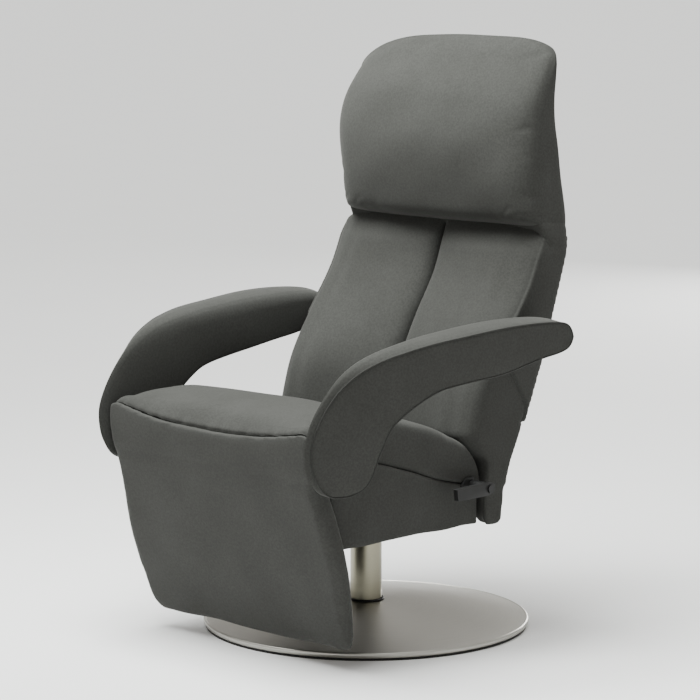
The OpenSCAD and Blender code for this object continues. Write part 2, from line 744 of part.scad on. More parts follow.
// [share of the half width, share of the thickness, share of the crown, share of the outer fullness]
channel_shares = [[0, 0.86, 0, 0], [0.04, 0.94, 0.18, 0], [0.11, 1, 0.42, 0], [0.3, 1, 0.86, 0.1],
    [0.5, 1, 1, 0.35], [0.7, 1, 0.9, 0.75], [0.88, 1, 0.6, 1], [0.96, 0.97, 0.35, 0.95],
    [1, 0.86, 0.2, 0.75]];
// The share of the back's height where its crown starts, over the seat
crown_start_share = 0.17;
function crown_fade(t) = min(1, 3 * sin(180 * max(0, (t - crown_start_share) / (1 - crown_start_share))));
module back_channel() {
    n = len(back_front);
    color(fabric)
        loft([for (s = channel_shares)
            ring(lerp(soft_gap / 2, back_half, s[0]),
                [for (i = [0 : n - 1])
                    let (t = i / (n - 1), out = unit(back_front[i] - back_back[i]),
                        bulge = (s[2] * channel_crown + s[3] * channel_side * (1 - t)) * crown_fade(t))
                    lerp(channel_rear[i], back_front[i], s[1]) + out * bulge],
                channel_rear)]);
}
module back_channel_left() { back_channel(); }
module back_channel_right() { mirror([1, 0, 0]) back_channel(); }
cover_shares = [[1, 0.88], [0.985, 0.96], [0.955, 1], [0.943, 1]];
cover_inner_shares = [0.94, 0.5];
module back_rear_cover() {
    outer = [for (s = cover_shares) [s[0], s[1], 1]];
    inner = [for (s = cover_inner_shares) [s, 1, 0]];
    half = concat(outer, inner);
    stations = concat([for (s = half) [-s[0], s[1], s[2]]], flip(half));
    color(fabric)
        loft([for (s = stations)
            let (front = s[2] == 1 ? wrap_front : cover_front)
            ring(s[0] * back_half, front,
                [for (i = [0 : len(front) - 1]) lerp(front[i], back_back[i], s[1])])]);
}
wing_over = 5.5;
wing_gap = 2.5;
wing_inset = 1;
wing_h = back_low - side_z + wing_over;
wing_shares = [[0, 1], [0.04, 0.6], [0, 0.34], [0.18, 0.1], [0.42, 0], [0.64, 0.01], [0.78, 0.13],
    [0.84, 0.45], [0.97, 1]];
module back_wing() {
    top = back_low - side_play;
    wing_l = back_back[0][0] - back_front[0][0];
    outline = [for (s = wing_shares) [back_front[0][0] + s[0] * wing_l, top - wing_h + s[1] * wing_h]];
    color(fabric) across(panel_inner + wing_gap, back_half - wing_inset, outline);
}
module back_wing_left() { back_wing(); }
module back_wing_right() { mirror([1, 0, 0]) back_wing(); }
bracket_flange_w = 22;
bracket_flange_t = 4;
module back_bracket() {
    top = back_low - side_play;
    x1 = bracket_outer;
    x0 = x1 - bracket_t;
    color(dark_steel)
        difference() {
            union() {
                plate_arm(x0, x1, recline_axis, bracket_eye_r,
                    [recline_axis + [-bracket_eye_r, 0], recline_axis + [bracket_eye_r, 0],
                    [board_front[0][0] + back_board_t, top], [board_front[0][0] - bracket_eye_r, top]]);
                translate([x0 - bracket_flange_w, board_front[0][0] - bracket_eye_r, top - bracket_flange_t])
                    cube([bracket_flange_w + bracket_t, bracket_eye_r + back_board_t, bracket_flange_t]);
            }
            pin_x(x0 - over, x1 + over, recline_axis, recline_pin_r + pin_play);
        }
}
module back_bracket_left() { back_bracket(); }
module back_bracket_right() { mirror([1, 0, 0]) back_bracket(); }

// Headrest and its hinge
leaf_half = 95;
leaf_gap = 1;
leaf_inset = 1.5;
leaf_stem = 3;
lug_w = 40;
head_pin_over = 5;
function last_board_point(k) = inset(board_front, back_back, k)[2 * (len(back_front_shares) - 2)];
module hinge_leaf(x0, x1, foot) {
    color(dark_steel)
        difference() {
            union() {
                across(x0, x1, [foot[0], foot[1], head_axis + [leaf_stem, 0], head_axis - [leaf_stem, 0]]);
                pin_x(x0, x1, head_axis, head_eye_r);
            }
            pin_x(x0 - over, x1 + over, head_axis, head_pin_r + pin_play);
        }
}
module headrest_lugs() {
    mirrored_pair()
        hinge_leaf(leaf_half + leaf_gap, leaf_half + lug_w,
            [last_board_point(leaf_inset), last_board_point(back_board_t - leaf_inset)]);
}
module headrest_pin() {
    reach = leaf_half + lug_w + head_pin_over;
    color(steel) pin_x(-reach, reach, head_axis, head_pin_r);
}
// [share of the half width, share of the thickness in front of the middle line, the same behind it]
head_edge_shares = [[1, 0.42, 0.8], [0.985, 0.58, 0.93], [0.95, 0.74, 1], [0.89, 0.87, 1], [0.82, 0.95, 1]];
// The top's rounded corners and its rise in the middle, at a share of the half width
function head_point(p, s) =
    let (t = max(0, abs(s) - head_corner_share) / (1 - head_corner_share), up = (p[1] - head_low) / head_h)
    p + [0, (head_lift * (1 - s * s) - head_corner * (1 - sqrt(1 - t * t))) * up * up * up];
module headrest_pad() {
    outer = [for (e = head_edge_shares) [e[0], e[1], e[2], 1]];
    inner = [for (s = concat([head_recess_share], flat_shares)) [s, 1, 1, 0]];
    half = concat(outer, [[head_recess_share + recess_step_share, 1, 1, 1]], inner);
    stations = concat([for (s = half) [-s[0], s[1], s[2], s[3]]],
        [for (i = [len(half) - 2 : -1 : 0]) half[i]]);
    n = len(head_front);
    color(fabric)
        loft([for (s = stations)
            let (bulge = head_crown * (1 - s[0] * s[0]), rear = s[3] == 1 ? head_rear : head_recess,
                front = drawn(head_front, head_rear, s[1]), drawn_rear = drawn(rear, head_front, s[2]))
            ring(s[0] * head_half,
                [for (i = [0 : n - 1])
                    let (out = unit(head_front[i] - head_rear[i]))
                    head_point(front[i] + out * bulge * min(1, 2 * end_fade(i, n)), s[0])],
                [for (p = drawn_rear) head_point(p, s[0])])]);
}
module headrest_board() {
    front = [for (i = [0 : head_recess_last - 1]) inset(head_rear, head_front, head_board_t)[i]];
    rear = [for (i = [0 : head_recess_last - 1]) head_rear[i]];
    reach = head_recess_share * head_half - side_play;
    color(fabric) across(-reach, reach, concat(front, flip(rear)));
}
module headrest_leaf() {
    hinge_leaf(-leaf_half, leaf_half, [inset(head_rear, head_front, head_board_t - leaf_inset)[0],
        inset(head_rear, head_front, leaf_inset)[0]]);
}

// Footrest
foot_edge_shares = [[1, 0.66], [0.985, 0.86], [0.96, 0.97], [0.94, 1]];
foot_crown = 6;
foot_crown_share = 0.7;
// The panel widens from this distance below its hinge, where it hangs clear of the arms
foot_flare_from = 84;
function flared(x, p) =
    let (t = (norm(p - foot_axis) - foot_flare_from) / (foot_h - foot_flare_from))
    x + x / foot_half * foot_flare * sin(180 * max(0, min(1, t)));
module footrest_pad() {
    outer = [for (e = foot_edge_shares) [e[0], e[1], 1]];
    inner = [for (s = concat([foot_recess_share], flat_shares)) [s, 1, 0]];
    half = concat(outer, inner);
    stations = concat([for (s = half) [-s[0], s[1], s[2]]], [for (i = [len(half) - 2 : -1 : 0]) half[i]]);
    n = len(foot_front);
    color(fabric)
        loft([for (s = stations)
            let (bulge = foot_crown * (1 - s[0] * s[0]), rear = s[2] == 1 ? foot_back : foot_inner,
                front = drawn(foot_front, foot_back, s[1]), drawn_rear = drawn(rear, foot_front, s[1]),
                crowned = [for (i = [0 : n - 1])
                    let (out = unit(foot_front[i] - foot_back[i]))
                    front[i] + out * bulge * max(0, sin(180 * i / (foot_crown_share * n)))])
            [for (p = concat(crowned, flip(drawn_rear))) [flared(s[0] * foot_half, p), p[0], p[1]]]]);
}
module footrest_board() {
    front = [for (i = [1 : foot_board_last]) foot_board_front[i]];
    rear = [for (i = [1 : foot_board_last]) foot_board_back[i]];
    reach = foot_recess_share * foot_half - side_play;
    color(wood) across(-reach, reach, concat(front, flip(rear)));
}
module footrest_arm() {
    first = foot_board_last - 4;
    depth = 14;
    board = [for (i = [first : foot_board_last]) foot_board_back[i]];
    outer = [for (i = [first : foot_board_last])
        foot_board_back[i] + depth * unit(foot_board_back[i] - foot_board_front[i])];
    tip = 7;
    color(dark_steel)
        difference() {
            plate_arm(foot_arm_outer - lug_t, foot_arm_outer, foot_axis, foot_eye_r,
                concat(board, [foot_axis + [-tip, -tip / 2], foot_axis + [tip, tip / 2]], flip(outer)));
            pin_x(foot_arm_outer - lug_t - over, foot_arm_outer + over, foot_axis, foot_pin_r + pin_play);
        }
}
module footrest_arm_left() { footrest_arm(); }
module footrest_arm_right() { mirror([1, 0, 0]) footrest_arm(); }

base_cover();
ballast_disc();
floor_pad();
column_flange();
flange_screws();
column_tube();
column_gasket();
column_cap();
swivel_spindle();
thrust_washer();
swivel_hub();
hub_plate();
hub_plate_screws();
spindle_retainer();
seat_rail_left();
seat_rail_right();
cross_tube_front();
cross_tube_rear();
seat_webbing();
front_board();
seat_underside();
seat_foam();
seat_cushion();
side_panel_left();
side_panel_right();
arm_left();
arm_right();
arm_bracket_left();
arm_bracket_right();
arm_screws();
footrest_lug_left();
footrest_lug_right();
footrest_pins();
recline_pins();
lever_bracket();
back_board();
back_channel_left();
back_channel_right();
back_rear_cover();
back_wing_left();
back_wing_right();
back_bracket_left();
back_bracket_right();
headrest_lugs();
headrest_pin();
headrest_pad();
headrest_board();
headrest_leaf();
footrest_pad();
footrest_board();
footrest_arm_left();
footrest_arm_right();
lever_shaft();
lever_grip();
lever_cap();
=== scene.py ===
import math

import bmesh
import bpy
import numpy as np
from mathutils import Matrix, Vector
from mathutils.bvhtree import BVHTree
from mathutils.kdtree import KDTree


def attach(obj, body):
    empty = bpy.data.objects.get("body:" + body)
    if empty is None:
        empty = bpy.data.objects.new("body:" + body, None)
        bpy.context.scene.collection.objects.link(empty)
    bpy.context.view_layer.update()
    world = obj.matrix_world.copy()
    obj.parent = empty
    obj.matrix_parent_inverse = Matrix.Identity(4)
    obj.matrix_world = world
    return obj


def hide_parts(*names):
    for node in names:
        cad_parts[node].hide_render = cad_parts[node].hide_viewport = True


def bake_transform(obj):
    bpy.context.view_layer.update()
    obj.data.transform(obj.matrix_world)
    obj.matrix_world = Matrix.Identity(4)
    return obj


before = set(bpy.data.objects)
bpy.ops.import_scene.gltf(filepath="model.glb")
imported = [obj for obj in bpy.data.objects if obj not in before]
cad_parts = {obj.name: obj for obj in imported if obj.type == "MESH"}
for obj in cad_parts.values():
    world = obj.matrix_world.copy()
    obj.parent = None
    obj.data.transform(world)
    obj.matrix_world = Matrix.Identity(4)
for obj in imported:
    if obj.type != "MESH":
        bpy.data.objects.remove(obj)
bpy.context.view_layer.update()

bl_info = {
    "name": "Swivel recliner",
    "version": (1, 0, 0),
    "blender": (4, 5, 0),
    "location": "View3D > Sidebar > Recliner",
    "description": "Upholstery, steel base and lever of a swivel recliner, built around its solids",
    "category": "Object",
}

MM = 0.001


# Sizes and colours that a user would change

class ReclinerSizes(bpy.types.PropertyGroup):
    welt_radius: bpy.props.FloatProperty(
        name="Welt radius", description="Radius of the piping along the arms' and cushions' seams",
        default=0.0017, min=0.001, max=0.004, unit="LENGTH")
    seam_depth: bpy.props.FloatProperty(
        name="Seam depth", description="How deep a sewn seam pulls into its padding",
        default=0.0035, min=0.0, max=0.008, unit="LENGTH")
    rim_radius: bpy.props.FloatProperty(
        name="Disc edge radius", description="Rounding of the steel disc's upper edge",
        default=0.0045, min=0.001, max=0.006, unit="LENGTH")


class ReclinerColours(bpy.types.PropertyGroup):
    wool: bpy.props.FloatVectorProperty(
        name="Wool", description="Base colour of the upholstery felt", subtype="COLOR", size=3,
        default=(0.036, 0.0365, 0.0335), min=0, max=1)
    wool_dark: bpy.props.FloatVectorProperty(
        name="Dark fibres", description="Colour of the darker fibres in the felt", subtype="COLOR", size=3,
        default=(0.020, 0.020, 0.0182), min=0, max=1)
    steel: bpy.props.FloatVectorProperty(
        name="Steel", description="Colour of the brushed stainless steel", subtype="COLOR", size=3,
        default=(0.55, 0.54, 0.50), min=0, max=1)


# Outlines in the side view, in shares of each piece; places and sizes in millimetres

SEAT = dict(rear=48, length=448, low=285, height=175)
ARM = dict(rear=168, length=583, low=330, height=276)
BACK = dict(rear=274, length=222, low=290, height=455)
HEAD = dict(rear=274, length=124, low=758, height=350)
FOOT = dict(rear=-284, length=124, low=36, height=366)

SEAT_TOP = [(0, .19), (.004, .354), (.045, .503), (.176, .651), (.306, .766), (.473, .891), (.605, .971),
            (.754, 1), (.877, .983), (.964, .937), (1.004, .863)]
SEAT_UNDER = [(0, .074), (.018, .029), (.085, .069), (.176, .131), (.306, .234), (.473, .366), (.605, .469),
              (.754, .589), (.879, .686), (.922, .817), (1, .811)]
ARM_TOP = [(0, .895), (.014, .957), (.057, .989), (.16, 1), (.322, .993), (.477, .967), (.614, .935),
           (.738, .88), (.834, .793), (.906, .67), (.962, .525), (.997, .362), (.995, .21), (.974, .101),
           (.949, .033), (.918, .004)]
ARM_UNDER = [(0, .873), (.014, .819), (.057, .786), (.151, .757), (.305, .692), (.451, .663), (.563, .63),
             (.648, .554), (.714, .464), (.744, .384), (.76, .308), (.775, .246), (.787, .174), (.803, .098),
             (.829, .036), (.871, .004)]
ARM_TUCK = [(0, .873), (.014, .805), (.057, .755), (.151, .7), (.305, .655), (.451, .61), (.563, .555),
            (.62, .49), (.665, .415), (.7, .34), (.73, .27), (.755, .2), (.78, .14), (.803, .08),
            (.829, .03), (.871, .004)]
ARM_SPLAY = [0, .1, .34, .57, .7, .78, .84, .89, .93, .97, 1]
BACK_FRONT = [(1, 0), (.991, .077), (.978, .176), (.955, .286), (.901, .418), (.793, .538), (.649, .655),
              (.513, .758), (.378, .879), (.279, .967), (.225, 1)]
BACK_REAR = [(.748, 0), (.703, .077), (.608, .176), (.509, .286), (.396, .418), (.297, .538), (.221, .655),
             (.149, .758), (.068, .879), (.014, .967), (0, .993)]
HEAD_FRONT = [(.758, .053), (.895, .088), (.944, .21), (.935, .357), (.879, .503), (.782, .635),
              (.653, .757), (.508, .868), (.403, .943), (.339, .983)]
HEAD_REAR = [(.016, .006), (0, .05), (.056, .167), (.129, .304), (.194, .439), (.25, .576), (.266, .722),
             (.25, .854), (.242, .931), (.258, .983)]
FOOT_FRONT = [(.113, 0), (.202, .066), (.395, .257), (.565, .448), (.726, .639), (.879, .803), (.976, .926)]
FOOT_BACK = [(0, .005), (.048, .066), (.161, .257), (.274, .448), (.395, .639), (.508, .803), (.597, .926)]
FOOT_AXIS = (-386, 402)
FOOT_TOP_R = 22
WING = [(.04, .6), (0, .34), (.18, .1), (.42, 0), (.64, .01), (.78, .13), (.84, .45)]


def catmull(points, steps=12):
    """A smooth line through the points, in the side view."""
    p = np.asarray(points, float)
    p = np.vstack([p[:1], p, p[-1:]])
    t = np.linspace(0, 1, steps, endpoint=False)[:, None]
    out = []
    for a, b, c, d in zip(p[:-3], p[1:-2], p[2:-1], p[3:]):
        bend, twist = 2 * a - 5 * b + 4 * c - d, 3 * b - a - 3 * c + d
        out.append((2 * b + (c - a) * t + bend * t ** 2 + twist * t ** 3) / 2)
    return np.vstack(out + [p[-1:]])


def even(line, count):
    """The line again, in even steps along its length."""
    line = np.asarray(line, float)
    run = np.concatenate([[0], np.cumsum(np.linalg.norm(np.diff(line, axis=0), axis=1))])
    at = np.linspace(0, run[-1], count)
    return np.stack([np.interp(at, run, line[:, k]) for k in range(line.shape[1])], 1)


def placed(shares, piece):
    s = np.asarray(shares, float)
    return np.stack([piece["rear"] - s[:, 0] * piece["length"], piece["low"] + s[:, 1] * piece["height"]], 1)


def matched(count, *lines):
    """A piece's edge lines with count points each; equal numbers lie across from each other."""
    fine = [catmull(line, 12) for line in lines]
    middle = (fine[0] + fine[1]) / 2
    run = np.concatenate([[0], np.cumsum(np.linalg.norm(np.diff(middle, axis=0), axis=1))])
    at = np.linspace(0, run[-1], count)
    return [np.stack([np.interp(at, run, line[:, k]) for k in range(2)], 1) * MM for line in fine]


def trimmed(line, start=0.0, stop=1.0):
    """The part of a line between two shares of it, with as many points as before."""
    at = np.linspace(start, stop, len(line)) * (len(line) - 1)
    return np.stack([np.interp(at, np.arange(len(line)), line[:, k]) for k in range(2)], 1)


def arc(centre, radius, start, stop, count=4):
    a = np.radians(np.linspace(start, stop, count))
    return np.stack([centre[0] + radius * np.cos(a), centre[1] + radius * np.sin(a)], 1)


def smoothstep(t):
    t = np.clip(t, 0, 1)
    return t * t * (3 - 2 * t)


def round_edge(s, start, least):
    """1 up to start, then down to least along a quarter ellipse at 1."""
    t = np.clip((np.abs(s) - start) / (1 - start), 0, 1)
    return least + (1 - least) * np.sqrt(1 - t * t)


def spread(low, high, count):
    """Stations that lie closer together towards both ends."""
    t = np.linspace(-1, 1, count)
    t = 0.45 * t + 0.55 * np.sin(t * math.pi / 2)
    return low + (high - low) * (t + 1) / 2


# Meshes

def added(name, data):
    """An object in the scene."""
    obj = bpy.data.objects.new(name, data)
    bpy.context.scene.collection.objects.link(obj)
    return obj


def to_mesh_object(name, verts, faces):
    mesh = bpy.data.meshes.new(name)
    mesh.from_pydata([tuple(v) for v in verts], [], faces)
    mesh.validate()
    return added(name, mesh)


def tidy_normals(obj):
    """Merges doubled vertices and turns all faces outward."""
    bm = bmesh.new()
    bm.from_mesh(obj.data)
    bmesh.ops.remove_doubles(bm, verts=bm.verts, dist=1e-6)
    bmesh.ops.recalc_face_normals(bm, faces=bm.faces)
    bm.to_mesh(obj.data)
    bm.free()
    obj.data.update()


def shade_smooth(obj, angle=None):
    for poly in obj.data.polygons:
        poly.use_smooth = True
    if angle is not None:
        bm = bmesh.new()
        bm.from_mesh(obj.data)
        for edge in bm.edges:
            if len(edge.link_faces) == 2 and edge.calc_face_angle(0) > angle:
                edge.smooth = False
        bm.to_mesh(obj.data)
        bm.free()


def bake(obj):
    """The object with its modifiers as a plain mesh."""
    dg = bpy.context.evaluated_depsgraph_get()
    mesh = bpy.data.meshes.new_from_object(obj.evaluated_get(dg))
    old = obj.data
    obj.modifiers.clear()
    obj.data = mesh
    mesh.name = obj.name
    if old.users == 0:
        bpy.data.meshes.remove(old)
    return obj


def subdivided(obj, levels=1):
    mod = obj.modifiers.new("subdivision", "SUBSURF")
    mod.levels = mod.render_levels = levels
    return bake(obj)


def remeshed(obj, size):
    mod = obj.modifiers.new("remesh", "REMESH")
    mod.mode, mod.voxel_size = "VOXEL", size
    return bake(obj)


def rows_of(items, key, width=3, kind=float):
    """One property of all of a mesh's vertices or edges, a row for each."""
    a = np.empty(len(items) * width, kind)
    items.foreach_get(key, a)
    return a.reshape(-1, width)


def co(obj):
    return rows_of(obj.data.vertices, "co")


def set_co(obj, a):
    obj.data.vertices.foreach_set("co", np.asarray(a, float).ravel())
    obj.data.update()


def normals(obj):
    return rows_of(obj.data.vertex_normals, "vector")


def relaxed(obj, rounds, keep=None):
    """Rounds the form's edges off a little without shrinking it."""
    pull, push = 0.6, -0.55
    a, b = rows_of(obj.data.edges, "vertices", 2, int).T
    p = co(obj)
    weight = np.ones(len(p)) if keep is None else 1 - keep(p)
    count = np.bincount(a, minlength=len(p)) + np.bincount(b, minlength=len(p))
    for k in range(rounds * 2):
        total = np.zeros_like(p)
        for axis in range(3):
            total[:, axis] = np.bincount(a, p[b, axis], len(p)) + np.bincount(b, p[a, axis], len(p))
        step = total / count[:, None] - p
        p = p + step * weight[:, None] * (pull if k % 2 == 0 else push)
    set_co(obj, p)


def block_form(name, sections, across=7, side_bulge=0.0, end_bulge=0.0):
    """A closed form through sections: each has the piece's front line and rear line at one station."""
    m, n = len(sections), len(sections[0][0])
    w = np.linspace(0, 1, across)
    grid = np.array([[f * (1 - t) + r * t for t in w] for f, r in sections])
    hump = (4 * w * (1 - w))[None, :, None]
    for end, inner in ((0, 1), (n - 1, n - 2)):
        way = grid[:, :, end] - grid[:, :, inner]
        way /= np.maximum(np.linalg.norm(way, axis=2, keepdims=True), 1e-9)
        grid[:, :, end] += way * hump * end_bulge
    fade = np.sqrt(np.clip(np.sin(np.linspace(0, math.pi, n)), 0, 1))
    for end, sign in ((0, -1), (m - 1, 1)):
        push = np.sign(grid[m - 1, 0, 0, 0] - grid[0, 0, 0, 0]) * sign
        grid[end, :, :, 0] += push * side_bulge * (4 * w * (1 - w))[:, None] * fade[None, :]
    ids, verts = {}, []
    for a in range(m):
        for j in range(across):
            for i in range(n):
                if a in (0, m - 1) or j in (0, across - 1) or i in (0, n - 1):
                    ids[a, j, i] = len(verts)
                    verts.append(grid[a, j, i])
    faces = []
    for a in range(m - 1):
        for i in range(n - 1):
            for j in (0, across - 1):
                faces.append([ids[a, j, i], ids[a + 1, j, i], ids[a + 1, j, i + 1], ids[a, j, i + 1]])
        for j in range(across - 1):
            for i in (0, n - 1):
                faces.append([ids[a, j, i], ids[a + 1, j, i], ids[a + 1, j + 1, i], ids[a, j + 1, i]])
    for a in (0, m - 1):
        for j in range(across - 1):
            for i in range(n - 1):
                faces.append([ids[a, j, i], ids[a, j + 1, i], ids[a, j + 1, i + 1], ids[a, j, i + 1]])
    obj = to_mesh_object(name, verts, faces)
    tidy_normals(obj)
    return obj


def section(x, front, rear):
    """The side-view lines at one x; x may change along the lines."""
    xf = np.broadcast_to(x if np.isscalar(x) else x[0], len(front))
    xr = np.broadcast_to(x if np.isscalar(x) else x[1], len(rear))
    return (np.column_stack([xf, front]), np.column_stack([xr, rear]))


def toward_middle(front, rear, k_front, k_rear):
    middle = (front + rear) / 2
    return middle + (front - middle) * k_front, middle + (rear - middle) * k_rear


def outward(front, rear):
    v = front - rear
    return v / np.maximum(np.linalg.norm(v, axis=1, keepdims=True), 1e-9)


def creased(obj, path, depth, width, pucker=0.0, pitch=0.03):
    """Pulls a sewn line into the padding: every vertex near the path goes in along its normal."""
    pace, pucker_width = 0.002, 0.012
    path = even(path, max(8, int(np.linalg.norm(np.diff(path, axis=0), axis=1).sum() / pace)))
    tree = KDTree(len(path))
    for i, p in enumerate(path):
        tree.insert(p, i)
    tree.balance()
    p, nrm = co(obj), normals(obj)
    reach = 3 * width + (0.02 if pucker else 0)
    low, high = path.min(0) - reach, path.max(0) + reach
    near = np.nonzero(((p > low) & (p < high)).all(1))[0]
    for k in near:
        _, i, d = tree.find(p[k])
        if d < reach:
            pull = depth * math.exp(-(d / width) ** 2)
            if pucker:
                run = i * pace
                wave = math.sin(run / pitch * 2 * math.pi) + 0.6 * math.sin(run / pitch * 3.7 + 1.3)
                pull += pucker * wave * math.exp(-(d / pucker_width) ** 2)
            p[k] -= nrm[k] * pull
    set_co(obj, p)


def swelled(obj, pressure, cap, frames=20, keep=None):
    """A short cloth simulation under pressure, capped and applied: the cover stretches over its filling."""
    scene = bpy.context.scene
    start = co(obj)
    mod = obj.modifiers.new("cloth", "CLOTH")
    settings = dict(quality=4, mass=0.3, tension_stiffness=15, compression_stiffness=15, shear_stiffness=5,
                    bending_stiffness=0.5, use_pressure=True, uniform_pressure_force=pressure)
    for key, value in settings.items():
        setattr(mod.settings, key, value)
    mod.settings.effector_weights.gravity = 0
    mod.collision_settings.use_collision = False
    mod.point_cache.frame_start, mod.point_cache.frame_end = 1, frames
    for f in range(1, frames + 1):
        scene.frame_set(f)
    dg = bpy.context.evaluated_depsgraph_get()
    moved = rows_of(obj.evaluated_get(dg).to_mesh().vertices, "co")
    obj.evaluated_get(dg).to_mesh_clear()
    obj.modifiers.remove(mod)
    scene.frame_set(1)
    step = moved - start
    length = np.linalg.norm(step, axis=1, keepdims=True)
    step *= np.minimum(1, cap / np.maximum(length, 1e-9))
    if keep is not None:
        step *= (1 - keep(start))[:, None]
    set_co(obj, start + step)


def fold_noise(obj, size, depth, seed, where=None):
    """Slow, shallow unevenness of a hand-made cover."""
    waves, usual_sum = 7, 2.6
    p, nrm = co(obj), normals(obj)
    rng = np.random.default_rng(seed)
    field = np.zeros(len(p))
    for _ in range(waves):
        way = rng.normal(size=3)
        way /= np.linalg.norm(way)
        field += np.sin(p @ way * (2 * math.pi / (size * rng.uniform(0.6, 1.5))) + rng.uniform(0, 6.28))
    field *= depth / usual_sum
    if where is not None:
        field *= where(p)
    set_co(obj, p + nrm * field[:, None])


def lathe(name, profile, steps=160):
    """A turned piece: its profile is closed, [radius, height] in metres."""
    a = np.linspace(0, 2 * math.pi, steps, endpoint=False)
    profile = np.asarray(profile, float)
    n = len(profile)
    verts = [(r * math.cos(t), r * math.sin(t), z) for t in a for r, z in profile]
    faces = []
    for i in range(steps):
        for j in range(n):
            k, l = (i + 1) % steps, (j + 1) % n
            faces.append([i * n + j, k * n + j, k * n + l, i * n + l])
    obj = to_mesh_object(name, verts, faces)
    tidy_normals(obj)
    return obj


def prism(name, outline, x0, x1, bevel=0.0, segments=3):
    """A plate across the chair, from a side view outline in millimetres, with rounded edges."""
    n = len(outline)
    verts = [(x * MM, y * MM, z * MM) for x in (x0, x1) for y, z in outline]
    faces = [list(range(n))[::-1], list(range(n, 2 * n))]
    faces += [[i, (i + 1) % n, n + (i + 1) % n, n + i] for i in range(n)]
    obj = to_mesh_object(name, verts, faces)
    tidy_normals(obj)
    if bevel:
        mod = obj.modifiers.new("edges", "BEVEL")
        mod.width, mod.segments, mod.limit_method = bevel, segments, "ANGLE"
        mod.angle_limit = math.radians(30)
        bake(obj)
    return obj


def joined(name, parts):
    """Several meshes as one piece."""
    bm = bmesh.new()
    for part in parts:
        bm.from_mesh(part.data)
    mesh = bpy.data.meshes.new(name)
    bm.to_mesh(mesh)
    bm.free()
    for part in parts:
        bpy.data.objects.remove(part, do_unlink=True)
    return added(name, mesh)


def snapped(obj, path):
    """The path laid on the object's surface."""
    tree = BVHTree.FromPolygons([v.co for v in obj.data.vertices], [p.vertices for p in obj.data.polygons])
    return np.array([tree.find_nearest(Vector(p))[0] for p in path])


# Geometry nodes: welts

def socket(tree, name, kind, default=None, output=False):
    s = tree.interface.new_socket(name, in_out="OUTPUT" if output else "INPUT", socket_type=kind)
    if default is not None:
        s.default_value = default
    return s


def welt_tree():
    """A round welt along a curve, with named radius and sides."""
    tree = bpy.data.node_groups.get("welt along seam")
    if tree:
        return tree
    tree = bpy.data.node_groups.new("welt along seam", "GeometryNodeTree")
    socket(tree, "Geometry", "NodeSocketGeometry")
    socket(tree, "Radius", "NodeSocketFloat", 0.002)
    socket(tree, "Sides", "NodeSocketInt", 8)
    socket(tree, "Material", "NodeSocketMaterial")
    socket(tree, "Geometry", "NodeSocketGeometry", output=True)
    n = tree.nodes
    a, b = n.new("NodeGroupInput"), n.new("NodeGroupOutput")
    ring = n.new("GeometryNodeCurvePrimitiveCircle")
    sweep = n.new("GeometryNodeCurveToMesh")
    sweep.inputs["Fill Caps"].default_value = True
    real, paint = n.new("GeometryNodeRealizeInstances"), n.new("GeometryNodeSetMaterial")
    link = tree.links.new
    link(a.outputs["Geometry"], sweep.inputs["Curve"])
    link(a.outputs["Sides"], ring.inputs["Resolution"])
    link(a.outputs["Radius"], ring.inputs["Radius"])
    link(ring.outputs["Curve"], sweep.inputs["Profile Curve"])
    link(sweep.outputs["Mesh"], real.inputs["Geometry"])
    link(real.outputs["Geometry"], paint.inputs["Geometry"])
    link(a.outputs["Material"], paint.inputs["Material"])
    link(paint.outputs["Geometry"], b.inputs["Geometry"])
    return tree


def along(name, paths, tree, material, closed=False, **inputs):
    """A plain mesh made by a Geometry Nodes tree along the paths."""
    curve = bpy.data.curves.new(name, "CURVE")
    curve.dimensions = "3D"
    for path in paths:
        line = curve.splines.new("POLY")
        line.points.add(len(path) - 1)
        line.points.foreach_set("co", np.column_stack([path, np.ones(len(path))]).ravel())
        line.use_cyclic_u = closed
    obj = added(name + "_curve", curve)
    mod = obj.modifiers.new("nodes", "NODES")
    mod.node_group = tree
    ids = {i.name: i.identifier for i in tree.interface.items_tree if i.in_out == "INPUT"}
    for key, value in dict(inputs, Material=material).items():
        mod[ids[key]] = value
    dg = bpy.context.evaluated_depsgraph_get()
    dg.update()
    mesh = bpy.data.meshes.new_from_object(obj.evaluated_get(dg))
    mesh.name = name
    bpy.data.objects.remove(obj, do_unlink=True)
    bpy.data.curves.remove(curve)
    out = added(name, mesh)
    tidy_normals(out)
    shade_smooth(out, math.radians(50))
    if not mesh.materials:
        mesh.materials.append(material)
    return out


# Materials

def new_group(name, inputs, outputs):
    g = bpy.data.node_groups.new(name, "ShaderNodeTree")
    for label, kind, value in inputs:
        socket(g, label, kind, value)
    for label, kind in outputs:
        socket(g, label, kind, output=True)
    return g, g.nodes.new("NodeGroupInput"), g.nodes.new("NodeGroupOutput")


def node(tree, kind, vector=None, **values):
    """A node with its settings and inputs; an underscore in a name stands for a space."""
    n = tree.nodes.new(kind)
    for key, value in values.items():
        if hasattr(n, key):
            setattr(n, key, value)
        else:
            n.inputs[key.replace("_", " ")].default_value = value
    if vector is not None:
        tree.links.new(vector, n.inputs["Vector"])
    return n


def feed(tree, s, value):
    """Puts another node's output, a number or a colour into an input."""
    if isinstance(value, bpy.types.NodeSocket):
        tree.links.new(value, s)
    elif isinstance(value, (int, float)):
        s.default_value = value
    else:
        s.default_value = (*value, 1)


def mixed(tree, factor, a, b):
    """A colour mix; a and b are sockets or colours."""
    n = tree.nodes.new("ShaderNodeMix")
    n.data_type = "RGBA"
    for value, s in ((factor, n.inputs[0]), (a, n.inputs[6]), (b, n.inputs[7])):
        feed(tree, s, value)
    return n.outputs[2]


def maths(tree, operation, a, b):
    n = node(tree, "ShaderNodeMath", operation=operation)
    feed(tree, n.inputs[0], a)
    feed(tree, n.inputs[1], b)
    return n.outputs[0]


